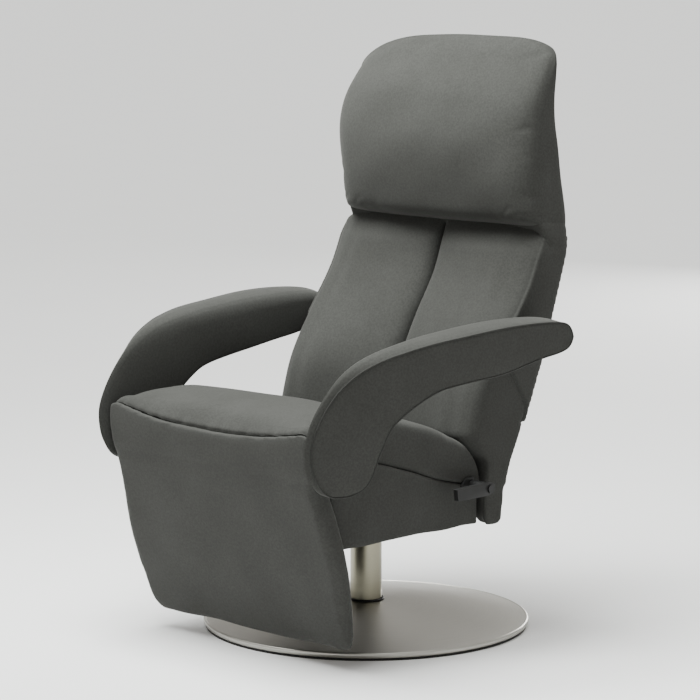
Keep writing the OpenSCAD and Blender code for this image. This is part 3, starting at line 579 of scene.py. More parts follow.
def ranged(tree, value, low, high, to_low=0.0, to_high=1.0):
    n = tree.nodes.new("ShaderNodeMapRange")
    for s, content in zip(n.inputs, (value, low, high, to_low, to_high)):
        feed(tree, s, content)
    return n.outputs[0]


VECTOR = ("Vector", "NodeSocketVector", None)
COLOUR = ("Colour", "NodeSocketColor", (0.1, 0.1, 0.1, 1))
DARK = ("Dark", "NodeSocketColor", (0.05, 0.05, 0.05, 1))
SURFACE = [("Colour", "NodeSocketColor"), ("Height", "NodeSocketFloat"), ("Roughness", "NodeSocketFloat")]


def felt_group():
    """Milled wool: a blurred weave under short fibres, and a melange of lighter and darker yarn."""
    g = bpy.data.node_groups.get("milled wool")
    if g:
        return g
    g, a, b = new_group("milled wool", [VECTOR, COLOUR, DARK, ("Melange", "NodeSocketFloat", 0.5)], SURFACE)
    at = a.outputs["Vector"]
    fibre = node(g, "ShaderNodeTexNoise", at, Scale=900.0, Detail=3.0, Roughness=0.7)
    yarn = node(g, "ShaderNodeTexNoise", at, Scale=260.0, Detail=2.0, Roughness=0.6)
    cloud = node(g, "ShaderNodeTexNoise", at, Scale=9.0, Detail=4.0, Roughness=0.6)
    knots = node(g, "ShaderNodeTexVoronoi", at, Scale=420.0)
    waves = [node(g, "ShaderNodeTexWave", at, bands_direction=way, Scale=190.0, Distortion=6.0, Detail=2.0)
             for way in ("X", "Z")]
    grain = maths(g, "MULTIPLY", ranged(g, yarn.outputs["Fac"], 0.35, 0.65), a.outputs["Melange"])
    colour = mixed(g, grain, a.outputs["Colour"], a.outputs["Dark"])
    shade = ranged(g, cloud.outputs["Fac"], 0.35, 0.7, 0.0, 0.2)
    colour = mixed(g, shade, colour, a.outputs["Dark"])
    light = ranged(g, fibre.outputs["Fac"], 0.6, 0.8, 0.0, 0.3)
    colour = mixed(g, light, colour, (0.08, 0.082, 0.076))
    weave = maths(g, "MULTIPLY", maths(g, "ADD", *(wave.outputs["Fac"] for wave in waves)), 0.2)
    height = maths(g, "ADD", weave, maths(g, "MULTIPLY", fibre.outputs["Fac"], 0.5))
    height = maths(g, "ADD", height, maths(g, "MULTIPLY", knots.outputs["Distance"], 0.25))
    feed(g, b.inputs["Colour"], colour)
    feed(g, b.inputs["Height"], height)
    feed(g, b.inputs["Roughness"], ranged(g, cloud.outputs["Fac"], 0.3, 0.7, 0.86, 0.96))
    return g


def brushed_group():
    """Fine brushing lines round the piece's axis, with slight stains."""
    g = bpy.data.node_groups.get("brushed lines")
    if g:
        return g
    g, a, b = new_group("brushed lines", [VECTOR, COLOUR, DARK], SURFACE)
    lines_per_metre, drift = 1400.0, 2.5
    parts = node(g, "ShaderNodeSeparateXYZ")
    feed(g, parts.inputs[0], a.outputs["Vector"])
    x, y, z = parts.outputs
    flat, line = node(g, "ShaderNodeCombineXYZ"), node(g, "ShaderNodeCombineXYZ")
    feed(g, flat.inputs[0], x)
    feed(g, flat.inputs[1], y)
    radius = node(g, "ShaderNodeVectorMath", operation="LENGTH")
    feed(g, radius.inputs[0], flat.outputs[0])
    feed(g, line.inputs[0], maths(g, "MULTIPLY", radius.outputs["Value"], lines_per_metre))
    feed(g, line.inputs[1], maths(g, "MULTIPLY", z, lines_per_metre))
    feed(g, line.inputs[2], maths(g, "MULTIPLY", maths(g, "ARCTAN2", y, x), drift))
    fine = node(g, "ShaderNodeTexNoise", line.outputs[0], Scale=1.0, Detail=3.0, Roughness=0.75)
    stain = node(g, "ShaderNodeTexNoise", a.outputs["Vector"], Scale=14.0, Detail=3.0)
    tone = ranged(g, fine.outputs["Fac"], 0.3, 0.7)
    feed(g, b.inputs["Colour"], mixed(g, tone, a.outputs["Colour"], a.outputs["Dark"]))
    feed(g, b.inputs["Height"], fine.outputs["Fac"])
    rough = maths(g, "ADD", ranged(g, fine.outputs["Fac"], 0.25, 0.75, 0.29, 0.35),
                  ranged(g, stain.outputs["Fac"], 0.4, 0.7, 0.0, 0.025))
    feed(g, b.inputs["Roughness"], rough)
    return g


def grain_group():
    """Fine grain of a powder coat or moulded plastic, with dust in the hollows of a slow noise."""
    g = bpy.data.node_groups.get("fine grain")
    if g:
        return g
    dust = ("Dust", "NodeSocketColor", (0.2, 0.2, 0.2, 1))
    g, a, b = new_group("fine grain", [VECTOR, COLOUR, dust, ("Size", "NodeSocketFloat", 900.0)], SURFACE)
    cells = node(g, "ShaderNodeTexNoise", a.outputs["Vector"], Detail=2.0, Roughness=0.6)
    feed(g, cells.inputs["Scale"], a.outputs["Size"])
    slow = node(g, "ShaderNodeTexNoise", a.outputs["Vector"], Scale=18.0, Detail=4.0, Roughness=0.6)
    dusty = ranged(g, slow.outputs["Fac"], 0.45, 0.75, 0.0, 0.25)
    feed(g, b.inputs["Colour"], mixed(g, dusty, a.outputs["Colour"], a.outputs["Dust"]))
    feed(g, b.inputs["Height"], cells.outputs["Fac"])
    feed(g, b.inputs["Roughness"], ranged(g, slow.outputs["Fac"], 0.3, 0.7, 0.42, 0.58))
    return g


def start_material(name):
    mat = bpy.data.materials.new(name)
    mat.use_nodes = True
    tree = mat.node_tree
    place = tree.nodes.new("ShaderNodeTexCoord")
    return mat, tree, tree.nodes["Principled BSDF"], place.outputs["Object"]


def surfaced(tree, shader, colour, roughness, height, strength, distance):
    """The shader's colour, roughness and bump."""
    bump = node(tree, "ShaderNodeBump", Strength=strength, Distance=distance)
    feed(tree, bump.inputs["Height"], height)
    feed(tree, shader.inputs["Base Color"], colour)
    feed(tree, shader.inputs["Roughness"], roughness)
    feed(tree, shader.inputs["Normal"], bump.outputs[0])


def grouped(name, group, bump, values, **settings):
    """A material round a node group; values go to the group and settings to the shader."""
    mat, tree, shader, vector = start_material(name)
    g = tree.nodes.new("ShaderNodeGroup")
    g.node_tree = group
    for key, value in dict(values, Vector=vector).items():
        feed(tree, g.inputs[key], value)
    surfaced(tree, shader, *(g.outputs[key] for key in ("Colour", "Roughness", "Height")), *bump)
    for key, value in settings.items():
        feed(tree, shader.inputs[key.replace("_", " ")], value)
    return mat


def felt(name, colour, dark, melange=0.6, sheen=0.1):
    return grouped(name, felt_group(), (0.25, 0.0004), dict(Colour=colour, Dark=dark, Melange=melange),
                   Specular_IOR_Level=0.25, Sheen_Weight=sheen, Sheen_Roughness=0.45,
                   Sheen_Tint=(0.8, 0.8, 0.76))


def brushed_steel(name, colour, strength=0.05, anisotropy=0.5):
    dark = tuple(c * 0.91 for c in colour)
    return grouped(name, brushed_group(), (strength, 0.00015), dict(Colour=colour, Dark=dark),
                   Metallic=1.0, Anisotropic=anisotropy)


def grained(name, colour, dust, metallic=0.0, size=900.0, strength=0.15, specular=0.5):
    return grouped(name, grain_group(), (strength, 0.0003), dict(Colour=colour, Dust=dust, Size=size),
                   Metallic=metallic, Specular_IOR_Level=specular)


def plywood(name, dark=(0.5, 0.35, 0.2), light=(0.66, 0.5, 0.31)):
    mat, tree, shader, vector = start_material(name)
    stretch = node(tree, "ShaderNodeMapping", vector, Scale=(2.0, 40.0, 14.0))
    rings = node(tree, "ShaderNodeTexNoise", stretch.outputs[0], Scale=3.0, Detail=6.0, Roughness=0.65,
                 Distortion=1.2)
    ring = rings.outputs["Fac"]
    surfaced(tree, shader, mixed(tree, ranged(tree, ring, 0.35, 0.65), dark, light),
             ranged(tree, ring, 0.3, 0.7, 0.55, 0.75), ring, 0.2, 0.0005)
    return mat


def webbed(name):
    mat, tree, shader, vector = start_material(name)
    lines = node(tree, "ShaderNodeTexWave", vector, Scale=160.0, Distortion=1.0, Detail=1.0)
    dots = node(tree, "ShaderNodeTexNoise", vector, Scale=700.0, Detail=2.0)
    weave = maths(tree, "MULTIPLY", lines.outputs["Fac"], dots.outputs["Fac"])
    surfaced(tree, shader, mixed(tree, weave, (0.012, 0.012, 0.012), (0.05, 0.05, 0.048)),
             ranged(tree, dots.outputs["Fac"], 0.3, 0.7, 0.8, 0.95), weave, 0.4, 0.0006)
    return mat


def foamed(name):
    mat, tree, shader, vector = start_material(name)
    cell = node(tree, "ShaderNodeTexVoronoi", vector, Scale=600.0).outputs["Distance"]
    surfaced(tree, shader, mixed(tree, ranged(tree, cell, 0.0, 0.6), (0.5, 0.45, 0.3), (0.78, 0.72, 0.52)),
             ranged(tree, cell, 0.0, 0.6, 0.8, 0.95), cell, 0.5, 0.0005)
    return mat


def material(key):
    """The finish of that key, made when it is first asked for."""
    if key not in MATERIALS:
        maker, name, *rest = MAKERS[key]
        MATERIALS[key] = maker(name, *rest)
    return MATERIALS[key]


def wool_felt(name):
    c = bpy.context.scene.recliner_colours
    return felt(name, tuple(c.wool), tuple(c.wool_dark))


def welt_felt(name):
    """A little darker than the covers, and plainer."""
    c = bpy.context.scene.recliner_colours
    return felt(name, tuple(v * 0.7 for v in c.wool), tuple(v * 0.65 for v in c.wool_dark), 0.4, 0.06)


def disc_steel(name):
    return brushed_steel(name, tuple(bpy.context.scene.recliner_colours.steel))


MATERIALS = {}
MAKERS = {
    "wool": (wool_felt, "charcoal wool felt"),
    "welt": (welt_felt, "welt wool"),
    "steel": (disc_steel, "brushed stainless steel"),
    # The column's colour is darker and warmer than the disc's steel: painted shade and painted reflection of
    # the dark seat above it
    "column": (brushed_steel, "column steel darkened as painted shade", (0.27, 0.255, 0.195)),
    "bright": (brushed_steel, "turned steel pins", (0.72, 0.72, 0.7), 0.08, 0.2),
    "frame": (grained, "black powder coat", (0.035, 0.035, 0.037), (0.09, 0.088, 0.082), 0.3),
    "rubber": (grained, "black rubber", (0.02, 0.02, 0.02), (0.05, 0.05, 0.048), 0.0, 500.0, 0.25, 0.3),
    "plastic": (grained, "black moulded plastic", (0.007, 0.007, 0.007), (0.014, 0.014, 0.013),
                0.0, 1200.0, 0.1, 0.35),
    "nylon": (grained, "bearing nylon", (0.72, 0.7, 0.62), (0.55, 0.53, 0.46), 0.0, 700.0, 0.08),
    "wood": (plywood, "birch plywood"),
    "stained": (plywood, "black stained plywood", (0.016, 0.014, 0.012), (0.034, 0.030, 0.026)),
    "webbing": (webbed, "black webbing"),
    "foam": (foamed, "cushion foam"),
}


def dressed(obj, key, slot, body, *nodes):
    """Material, body and the solids that the piece stands for; the slot is not used."""
    obj.data.materials.clear()
    obj.data.materials.append(material(key))
    if nodes:
        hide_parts(*nodes)
    if body:
        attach(obj, body)
    return obj


# The soft pieces' shapes

def mirrored_x(obj, name):
    """The same piece for the chair's other side."""
    mesh = obj.data.copy()
    mesh.name = name
    out = added(name, mesh)
    p = co(out)
    p[:, 0] *= -1
    set_co(out, p)
    tidy_normals(out)
    shade_smooth(out)
    return out


def ramp(value, start, run):
    """0 at start, 1 a run further on, smooth between; a negative run goes the other way."""
    return smoothstep((value - start) / run)


def upholstered(obj, rounds, noise, swell=None, sharp=None, where=None, still=None, levels=1, angle=None):
    """A cover's finish: smoothed, made uneven, stretched over its filling and subdivided.

    noise is size, depth and seed; swell is pressure and cap. sharp keeps an edge from being smoothed,
    where says where the cover is uneven, and still keeps a place from being stretched."""
    relaxed(obj, rounds, keep=sharp)
    fold_noise(obj, *noise, where=where)
    if swell:
        swelled(obj, *swell, keep=still)
    subdivided(obj, levels)
    shade_smooth(obj, angle)
    return obj


def seat_lines(count=70):
    return matched(count, placed(SEAT_TOP, SEAT), placed(SEAT_UNDER, SEAT))


def seam_height(x):
    """Height of the sewn line between the seat and the front cover; it rises towards both corners."""
    middle, corner_rise, corner = 0.421, 0.026, 0.262
    return middle + corner_rise * np.abs(x / corner) ** 2.5


def build_seat():
    """The seat cushion, wider at its front, where it meets the front cover's seam."""
    half, crown = 0.2495, 0.006
    rear_corner, rear_height, rear_span = 0.014, 0.368, 0.035
    plain_seam, corner_drop = 0.4285, 0.007
    wider_share, wider_start, wider_run = 0.052, -0.31, -0.08
    top, under = seat_lines()
    v = np.linspace(0, 1, len(top))
    lift = np.sin(v * math.pi)
    rows = []
    for s in spread(-1, 1, 61):
        f, r = toward_middle(top, under, round_edge(s, 0.92, 0.78), round_edge(s, 0.93, 0.8))
        f = f + np.column_stack([np.zeros_like(v), crown * (1 - s * s) * lift])
        at_rear = np.exp(-((f[:, 1] - rear_height) / rear_span) ** 2)
        f[:, 0] -= rear_corner * float(ramp(abs(s), 0.7, 0.3)) * at_rear
        lip = seam_height(s * half) - plain_seam - corner_drop * float(ramp(abs(s), 0.93, 0.07))
        f[:, 1] += lip * ramp(f[:, 0], -0.372, -0.028)
        r[:, 1] += lip * ramp(r[:, 0], -0.389, -0.009)
        x = [s * half * (1 + wider_share * ramp(line[:, 0], wider_start, wider_run)) for line in (f, r)]
        rows.append(section(x, f, r))
    obj = block_form("seat_cushion_cover", rows, 9, side_bulge=0.003, end_bulge=0.004)
    return upholstered(obj, 3, (0.16, 0.0012, 3), (3.0, 0.004), still=lambda p: ramp(p[:, 2], 0.36, -0.05))


def seam_of_seat():
    """The line across the seat's front where its cover is sewn to the front cover."""
    half, front, lift = 0.258, -0.408, 0.002
    x = np.linspace(-half, half, 80)
    return np.column_stack([x, np.full_like(x, front), seam_height(x) + lift])


ARM_INNER = 0.2735
# Where the arm's outer face stands at its front and at its rear
ARM_SPLAY_FRONT, ARM_SPLAY_REAR = 0.284, 0.373
# Across the arm from its inner face: share, fullness of its top line, how far its under line tucks in
ARM_SECTION = [(0, .5, .76), (.03, .72, .9), (.08, .9, .98), (.16, 1.05, 1), (.28, 1.14, .93),
               (.45, 1.2, .72), (.7, 1.16, .4), (.9, 1.06, .1), (1, 1.0, 0)]


def splay(y):
    """Where the arm's outer face stands across the chair, at each depth."""
    t = 1 - (ARM["rear"] * MM - y) / (ARM["length"] * MM)
    share = np.interp(t, np.linspace(0, 1, len(ARM_SPLAY)), ARM_SPLAY)
    return ARM_SPLAY_FRONT + (ARM_SPLAY_REAR - ARM_SPLAY_FRONT) * share


def build_arm():
    """The left arm, and the line of its outer welt."""
    top, under, tuck = matched(92, placed(ARM_TOP, ARM), placed(ARM_UNDER, ARM), placed(ARM_TUCK, ARM))
    table = np.array(ARM_SECTION)
    rows = []
    stations = np.concatenate([np.linspace(0, 0.16, 8, endpoint=False), np.linspace(0.16, 1, 16)])
    for s in stations:
        full, drop = (np.interp(s, table[:, 0], table[:, k]) for k in (1, 2))
        f, r = toward_middle(top, under, full, 1)
        r = r + (tuck - under) * drop
        x = [ARM_INNER + (splay(line[:, 0]) - ARM_INNER) * s for line in (f, r)]
        rows.append(section(x, f, r))
    obj = block_form("arm_cover_left", rows, 15, side_bulge=0.002, end_bulge=0.003)
    upholstered(obj, 3, (0.2, 0.0008, 5), sharp=lambda p: ramp(p[:, 0] - splay(p[:, 1]), -0.012, 0.008),
                angle=math.radians(38))
    edge = np.vstack([top, under[::-1], top[:1]])
    edge = even(np.column_stack([splay(edge[:, 0]), edge]), 420)[:-1]
    return obj, snapped(obj, edge)


# The board's front face, as a share of the back's thickness from its front, and half the gap before it
BOARD_SHARE = 0.62
BOARD_GAP = 0.0004
# Across a channel, from the middle seam out: share, share of the middle's bulge, share of the outer bulge
CHANNEL = [(0, 0, 0), (.04, .3, 0), (.11, .62, 0), (.2, .82, .03), (.3, .93, .1), (.5, 1, .35),
           (.7, .9, .75), (.88, .6, 1), (.96, .35, .95), (1, .2, .75)]


def back_lines():
    return matched(84, placed(BACK_FRONT, BACK), placed(BACK_REAR, BACK))


def crown_fade(t):
    """The channels' bulge fades out at both ends."""
    start = 0.11
    return np.clip(3 * np.sin(math.pi * np.clip((t - start) / (1 - start), 0, 1)), 0, 1)


def build_channel():
    """One of the back's two channels; its outer side wraps round to the rear and runs down into the wing."""
    seam, side, voxel = 0.0006, 0.2640, 0.0047
    middle_bulge, outer_bulge = 0.022, 0.052
    top_rise, top_round, corner_share = 0.027, 0.02, 0.05
    edge_share, edge_least = 0.07, 0.78
    front, back = back_lines()
    t = np.linspace(0, 1, len(front))
    out = outward(front, back)
    board = front + (back - front) * BOARD_SHARE + out * BOARD_GAP
    table = np.array(CHANNEL)
    rows = []
    stations = 0.5 - 0.5 * np.cos(np.linspace(0, math.pi, 46))
    for s in stations:
        c, e = (np.interp(s, table[:, 0], table[:, k]) for k in (1, 2))
        k = edge_least + (1 - edge_least) * math.sqrt(1 - max(0.0, 1 - s / edge_share) ** 2)
        k = min(k, float(round_edge(s, 0.93, 0.9)))
        bulge = (c * middle_bulge + e * outer_bulge * (1 - t) ** 1.2) * crown_fade(t)
        f = board + (front - board) * (k - ramp(t, 0.97, 0.03) * top_round)[:, None] + out * bulge[:, None]
        r = board + (back - board) * float(ramp(s, 0.935, 0.015))
        f[:, 1] += top_rise * ramp(t, 0.8, 0.2)
        f = trimmed(f, 0, 1 - corner_share * max(0.0, (s - 0.74) / 0.26))
        rows.append(section(seam + (side - seam) * s, f, r))
    channel = block_form("channel", rows, 8, side_bulge=0.0015, end_bulge=0.017)
    obj = joined("back_channel_cover_left", [channel, build_wing()])
    remeshed(obj, voxel)
    upholstered(obj, 9, (0.18, 0.0010, 8), (2.5, 0.0018), sharp=lambda p: 0.8 * ramp(p[:, 0], 0.03, -0.01),
                where=lambda p: ramp(p[:, 2], 0.34, 0.05) * ramp(p[:, 0], 0.25, -0.02),
                still=lambda p: np.maximum(ramp(p[:, 2], 0.4, -0.05), ramp(p[:, 0], 0.19, 0.03)))
    return hemmed(obj)


def build_wing():
    """The lower end of the back's side beside the hinge, with a flap on its outer side; in millimetres."""
    top, low, shoulder = 316, 217.5, 290
    inner, flap_inner, outer = 226, 255.5, 264.5
    front, back = back_lines()
    y0, y1 = front[0][0] / MM + 1.5, back[0][0] / MM
    outline = catmull([(y0 + a * (y1 - y0), low + b * (shoulder - 0.3 - low)) for a, b in WING], 5)
    outline = np.vstack([[y0 + 1, top], [y0, shoulder], outline, [y1 - 4, shoulder], [y1 + 2, top]])
    flap = np.vstack([[53, top], [50, shoulder], [49.5, 250], [50, 232], [53, 223], [60, low], [84, low],
                      [y1 - 20, 240], [y1 - 6, shoulder], [y1, top]])
    return joined("wing", [prism("inner", outline, inner, outer, 0.004, 3),
                           prism("outer", flap, flap_inner, outer, 0.002, 3)])


# The rear cover's hem on the back's sides, in the side view from its front end down to its corner
HEM = np.array([(.100, .528), (.111, .510), (.119, .496), (.131, .479), (.141, .463), (.151, .448),
                (.157, .434), (.158, .424), (.156, .414), (.147, .402)])
HEM_LOW = 0.403


def hemmed(obj):
    """The rear cover's lower hem: above it the back's sides and rear carry one more layer."""
    layer_rear, layer_side, step = 0.0045, 0.004, 0.003
    hollow, hollow_below, hollow_span = 0.0022, 0.0018, 0.0020
    p, nrm = co(obj), normals(obj)
    edge = np.interp(p[:, 2], HEM[::-1, 1], HEM[::-1, 0])
    behind = nrm[:, 1] > 0.55
    over = p[:, 2] - HEM_LOW
    above = np.where(behind, over, np.minimum((p[:, 1] - edge) * 0.85, over))
    face = np.sqrt(nrm[:, 0] ** 2 + np.maximum(nrm[:, 1], 0) ** 2)
    mask = ramp(face, 0.7, 0.22) * (behind | (np.abs(p[:, 0]) > 0.25)) * ramp(p[:, 2], 0.752, -0.04)
    layer = smoothstep(above / step) * np.where(behind, layer_rear, layer_side)
    groove = -hollow * np.exp(-((above + hollow_below) / hollow_span) ** 2)
    set_co(obj, p + nrm * ((layer + groove) * mask)[:, None])
    return obj


def build_rear_cover():
    """The padded shell behind the back board, between the two sides."""
    half, hollow = 0.2515, 0.004
    front, back = back_lines()
    out = outward(front, back)
    wrap = front + (back - front) * BOARD_SHARE - out * BOARD_GAP
    rows = []
    for s in spread(-1, 1, 57):
        k = float(round_edge(s, 0.95, 0.93))
        rows.append(section(s * half, wrap, wrap + (back - wrap) * k - out * hollow * (1 - s * s)))
    obj = block_form("back_rear_cover_shell", rows, 7, side_bulge=0.0, end_bulge=0.003)
    upholstered(obj, 1, (0.22, 0.0010, 12), levels=2)
    return hemmed(obj)


# The fold's lines in the side view, from the back up to the headrest, and its half width along them
FOLD_MIDDLE = np.array([(.232, .690), (.226, .728), (.221, .748), (.212, .762), (.196, .790)])
FOLD_END = np.array([(.214, .690), (.210, .722), (.207, .744), (.200, .762), (.184, .790)])
FOLD_REAR = np.array([(.256, .690), (.2695, .728), (.2715, .748), (.2705, .762), (.262, .790)])
FOLD_HALF = np.array([0.2600, 0.2668, 0.2672, 0.2640, 0.2560])


def build_fold():
    """The pinched band of cover between the back and the headrest, over their hinge."""
    count, far_taper = 36, 0.014
    half = np.interp(np.linspace(0, 1, count), np.linspace(0, 1, len(FOLD_HALF)), FOLD_HALF)
    rows = []
    for s in spread(-1, 1, 49):
        f = FOLD_MIDDLE + (FOLD_END - FOLD_MIDDLE) * abs(s) ** 5
        f, r = (even(catmull(line, 6), count) for line in (f, FOLD_REAR))
        f, r = toward_middle(f, r, float(round_edge(s, 0.97, 0.9)), float(round_edge(s, 0.97, 0.93)))
        x = s * half + far_taper * max(0.0, -s) ** 2
        rows.append(section((x, x), f, r))
    obj = block_form("headrest_fold", rows, 7, side_bulge=0.001)
    return upholstered(obj, 3, (0.05, 0.0010, 71))


# How far the headrest's top corners drop, and the share of the half width where the drop starts: far, near
HEAD_DROP_REAR = ((0.070, 0.28), (0.022, 0.78))
HEAD_DROP_FRONT = ((0.080, 0.26), (0.046, 0.60))
HEAD_ROLL = 0.005
HEAD_RISE = 0.009
# Short pulls in the cover at the headrest's lower corners, from point to point
HEAD_PULLS = [
    (.214, .168, .782, .247, .186, .792), (.196, .166, .784, .214, .164, .800),
    (.236, .176, .780, .252, .200, .786), (-.238, .180, .783, -.216, .168, .797),
    (-.250, .192, .786, -.236, .176, .802), (-.196, .166, .784, -.176, .162, .796),
]


def head_point(p, s, drops):
    """Rounded top corners and a risen middle; the filling sits a little higher on one side."""
    drop, start = drops[1 if s > 0 else 0]
    t = np.clip((abs(s) - start) / (1 - start), 0, 1)
    up = np.clip((p[:, 1] - HEAD["low"] * MM) / (HEAD["height"] * MM), 0, 1)
    q = p.copy()
    q[:, 1] += (HEAD_RISE * (1 - s * s) + HEAD_ROLL * s - drop * (1 - math.sqrt(1 - t * t))) * up ** 2.5
    return q


def build_headrest():
    """The headrest's pillow; its far side tapers towards the bottom."""
    half, crown, far_taper, low_reach = 0.2625, 0.017, 0.016, 0.005
    front, rear = matched(72, placed(HEAD_FRONT, HEAD), placed(HEAD_REAR, HEAD))
    v = np.linspace(0, 1, len(front))
    for line in (front, rear):
        line[:, 1] -= low_reach * (1 - smoothstep(v / 0.12))
    out = outward(front, rear)
    hump = smoothstep(v / 0.45) * smoothstep((1 - v) / 0.35)
    upper = ramp(v, 0.35, 0.5)
    rows = []
    for s in spread(-1, 1, 71):
        low = 1 - 0.20 * abs(s) ** 3 - 0.42 * (1 - round_edge(s, 0.78, 0))
        high = 1 - 0.10 * abs(s) ** 3 - 0.40 * (1 - round_edge(s, 0.9, 0))
        k = (low * (1 - upper) + high * upper)[:, None]
        f, r = toward_middle(front, rear, k, float(round_edge(s, 0.95, 0.88)))
        f = f + out * (crown * (1 - s * s) * hump)[:, None]
        x = s * half + far_taper * max(0.0, -s) ** 2 * (1 - smoothstep(v / 0.6))
        rows.append(section((x, x), head_point(f, s, HEAD_DROP_FRONT), head_point(r, s, HEAD_DROP_REAR)))
    obj = block_form("headrest_cover", rows, 9, side_bulge=0.003, end_bulge=0.007)
    upholstered(obj, 4, (0.17, 0.001, 21), (3.0, 0.004), still=lambda p: ramp(p[:, 1], 0.225, 0.03))
    sag, lift, depth, width = 0.004, 0.003, 0.0010, 0.0045
    for x0, y0, z0, x1, y1, z1 in HEAD_PULLS:
        middle = ((x0 + x1) / 2, (y0 + y1) / 2 - sag, (z0 + z1) / 2 + lift)
        creased(obj, snapped(obj, even([(x0, y0, z0), middle, (x1, y1, z1)], 12)), depth, width)
    return obj


FOOT_HALF = 0.269


def foot_lines():
    front = np.vstack([placed(FOOT_FRONT, FOOT), arc(FOOT_AXIS, FOOT_TOP_R, 180, 90)])
    back = np.vstack([placed(FOOT_BACK, FOOT), arc(FOOT_AXIS, FOOT_TOP_R, 0, 75)])
    return matched(80, front, back)


def flared(x, line):
    """The footrest widens below its hinge and narrows again towards its lower edge."""
    reach, narrow, flare = 0.366, 0.084, 0.016
    t = (np.linalg.norm(line - np.array(FOOT_AXIS) * MM, axis=1) - narrow) / (reach - narrow)
    return x + x / FOOT_HALF * flare * np.sin(math.pi * np.clip(t, 0, 1))


def front_lip():
    """The front cover's upper edge, up to the seat's seam."""
    half, rear, corner_drop, fold = 0.2655, -0.398, 0.006, 0.402
    rows = []
    for x in spread(-half, half, 41):
        top = seam_height(x) - corner_drop * float(ramp(abs(x), 0.248, 0.016))
        z = np.array([0.355, 0.372, 0.388, fold, (fold + top) / 2, top])
        y = np.array([-0.4000, -0.4060, -0.4090, -0.4108, -0.4115, -0.4100])
        rows.append(section(x, np.column_stack([y, z]), np.column_stack([np.full(len(z), rear), z])))
    return block_form("lip", rows, 4)


def build_footrest():
    """The footrest's pad with rounded lower corners, joined to the cover over its hinge."""
    crown, voxel = 0.006, 0.0046
    corner_cut, corner_start, corner_run = 0.032 / 0.40, 0.885, 0.115
    front, back = foot_lines()
    v = np.linspace(0, 1, len(front))
    out = outward(front, back)
    rows = []
    for s in spread(-1, 1, 61):
        k = float(round_edge(s, 0.93, 0.66))
        f, r = toward_middle(front, back, k, k)
        f = f + out * (crown * (1 - s * s) * np.clip(np.sin(math.pi * v / 0.7), 0, 1))[:, None]
        cut = corner_cut * (1 - math.sqrt(1 - max(0.0, (abs(s) - corner_start) / corner_run) ** 2))
        f, r = trimmed(f, cut), trimmed(r, cut)
        rows.append(section([flared(s * FOOT_HALF, line) for line in (f, r)], f, r))
    panel = block_form("panel", rows, 7, side_bulge=0.002, end_bulge=0.004)
    obj = joined("footrest_cover", [panel, front_lip()])
    remeshed(obj, voxel)
    return upholstered(obj, 2, (0.2, 0.001, 31), (2.0, 0.003), still=lambda p: ramp(p[:, 2], 0.33, 0.03))


def build_side_panel():
    """The upholstered panel under the seat's side."""
    inner, outer, rear, tuck = 0.2222, 0.2498, 0.0405, 0.0022
    low, wave, wave_turn = 0.2225, 0.0012, 38
    seat_rear, seat_length = SEAT["rear"] * MM, SEAT["length"] * MM
    front, stop, toe = (seat_rear - share * seat_length for share in (0.893, 0.87, 0.815))
    under = seat_lines(120)[1]
    line = under[(under[:, 0] < rear) & (under[:, 0] > stop)] + [0, tuck]
    upper = even(np.vstack([[rear, line[0, 1]], line, [front, line[-1, 1]]]), 60)
    y = np.linspace(rear + 0.002, toe, 60)
    lower = np.column_stack([y, low + wave * np.sin(y * wave_turn) * ramp(y, rear, -0.05)])
    rows = []
    for s in np.concatenate([[0], np.linspace(0.25, 1, 9)]):
        k = float(round_edge(s, 0.55, 0.965))
        f, r = toward_middle(upper, lower, k, k)
        rows.append(section(inner + (outer - inner) * s, f, r))
    obj = block_form("side_panel_cover_left", rows, 22, side_bulge=0.0022, end_bulge=0.0)
    return upholstered(obj, 3, (0.13, 0.0012, 41), where=lambda p: ramp(p[:, 0], 0.235, 0.01))


# Operators

class RECLINER_OT_base(bpy.types.Operator):
    """Domed steel disc, column sleeve and gasket"""
    bl_idname = "recliner.base"
    bl_label = "Steel base"

    def execute(self, context):
        sizes = context.scene.recliner_sizes
        r, low, rim, rise = 0.311, 0.0025, 0.0138, 0.034
        hole, thick, edge = 0.0315, 0.002, sizes.rim_radius

        def dome(q):
            return rim + rise * np.cos(np.pi / 2 * q / r)

        q = np.linspace(hole, r - edge * 1.05, 48)
        top = np.column_stack([q, dome(q)])
        round_rim = arc((r - edge, rim - edge * 0.55), edge, 74, 0, 9)
        side = np.array([[r - 0.0003, 0.0085], [r - 0.0018, 0.0058], [r - 0.0045, 0.0038], [r - 0.007, low],
                         [r - 0.0095, low], [r - 0.0095, low + thick], [r - 0.005, 0.0062],
                         [r - 0.0027, rim - 0.005]])
        inner = np.column_stack([q[::-1][3:], dome(q[::-1][3:]) - thick])
        disc = lathe("base_disc", np.vstack([top, round_rim, side, inner]), 256)
        shade_smooth(disc, math.radians(35))
        dressed(disc, "steel", "brushed_steel", "base", "base_cover")
        tube = lathe("column_sleeve", [[0.0300, 0.020], [0.0300, 0.2278], [0.0292, 0.2288], [0.0272, 0.2288],
                                       [0.0270, 0.2278], [0.0270, 0.020]], 128)
        shade_smooth(tube, math.radians(35))
        dressed(tube, "column", "brushed_steel", "base", "column_tube")
        z = float(dome(hole)) + 0.0001
        middle, wide, high = 0.0326, 0.0024, 0.0016
        turn = np.linspace(0, 2 * math.pi, 12, endpoint=False)
        ring = [[middle + wide * math.cos(t), z + high + high * math.sin(t)] for t in turn]
        gasket = lathe("column_gasket_ring", ring, 96)
        shade_smooth(gasket)
        dressed(gasket, "rubber", "rubber", "base", "column_gasket")
        return {"FINISHED"}


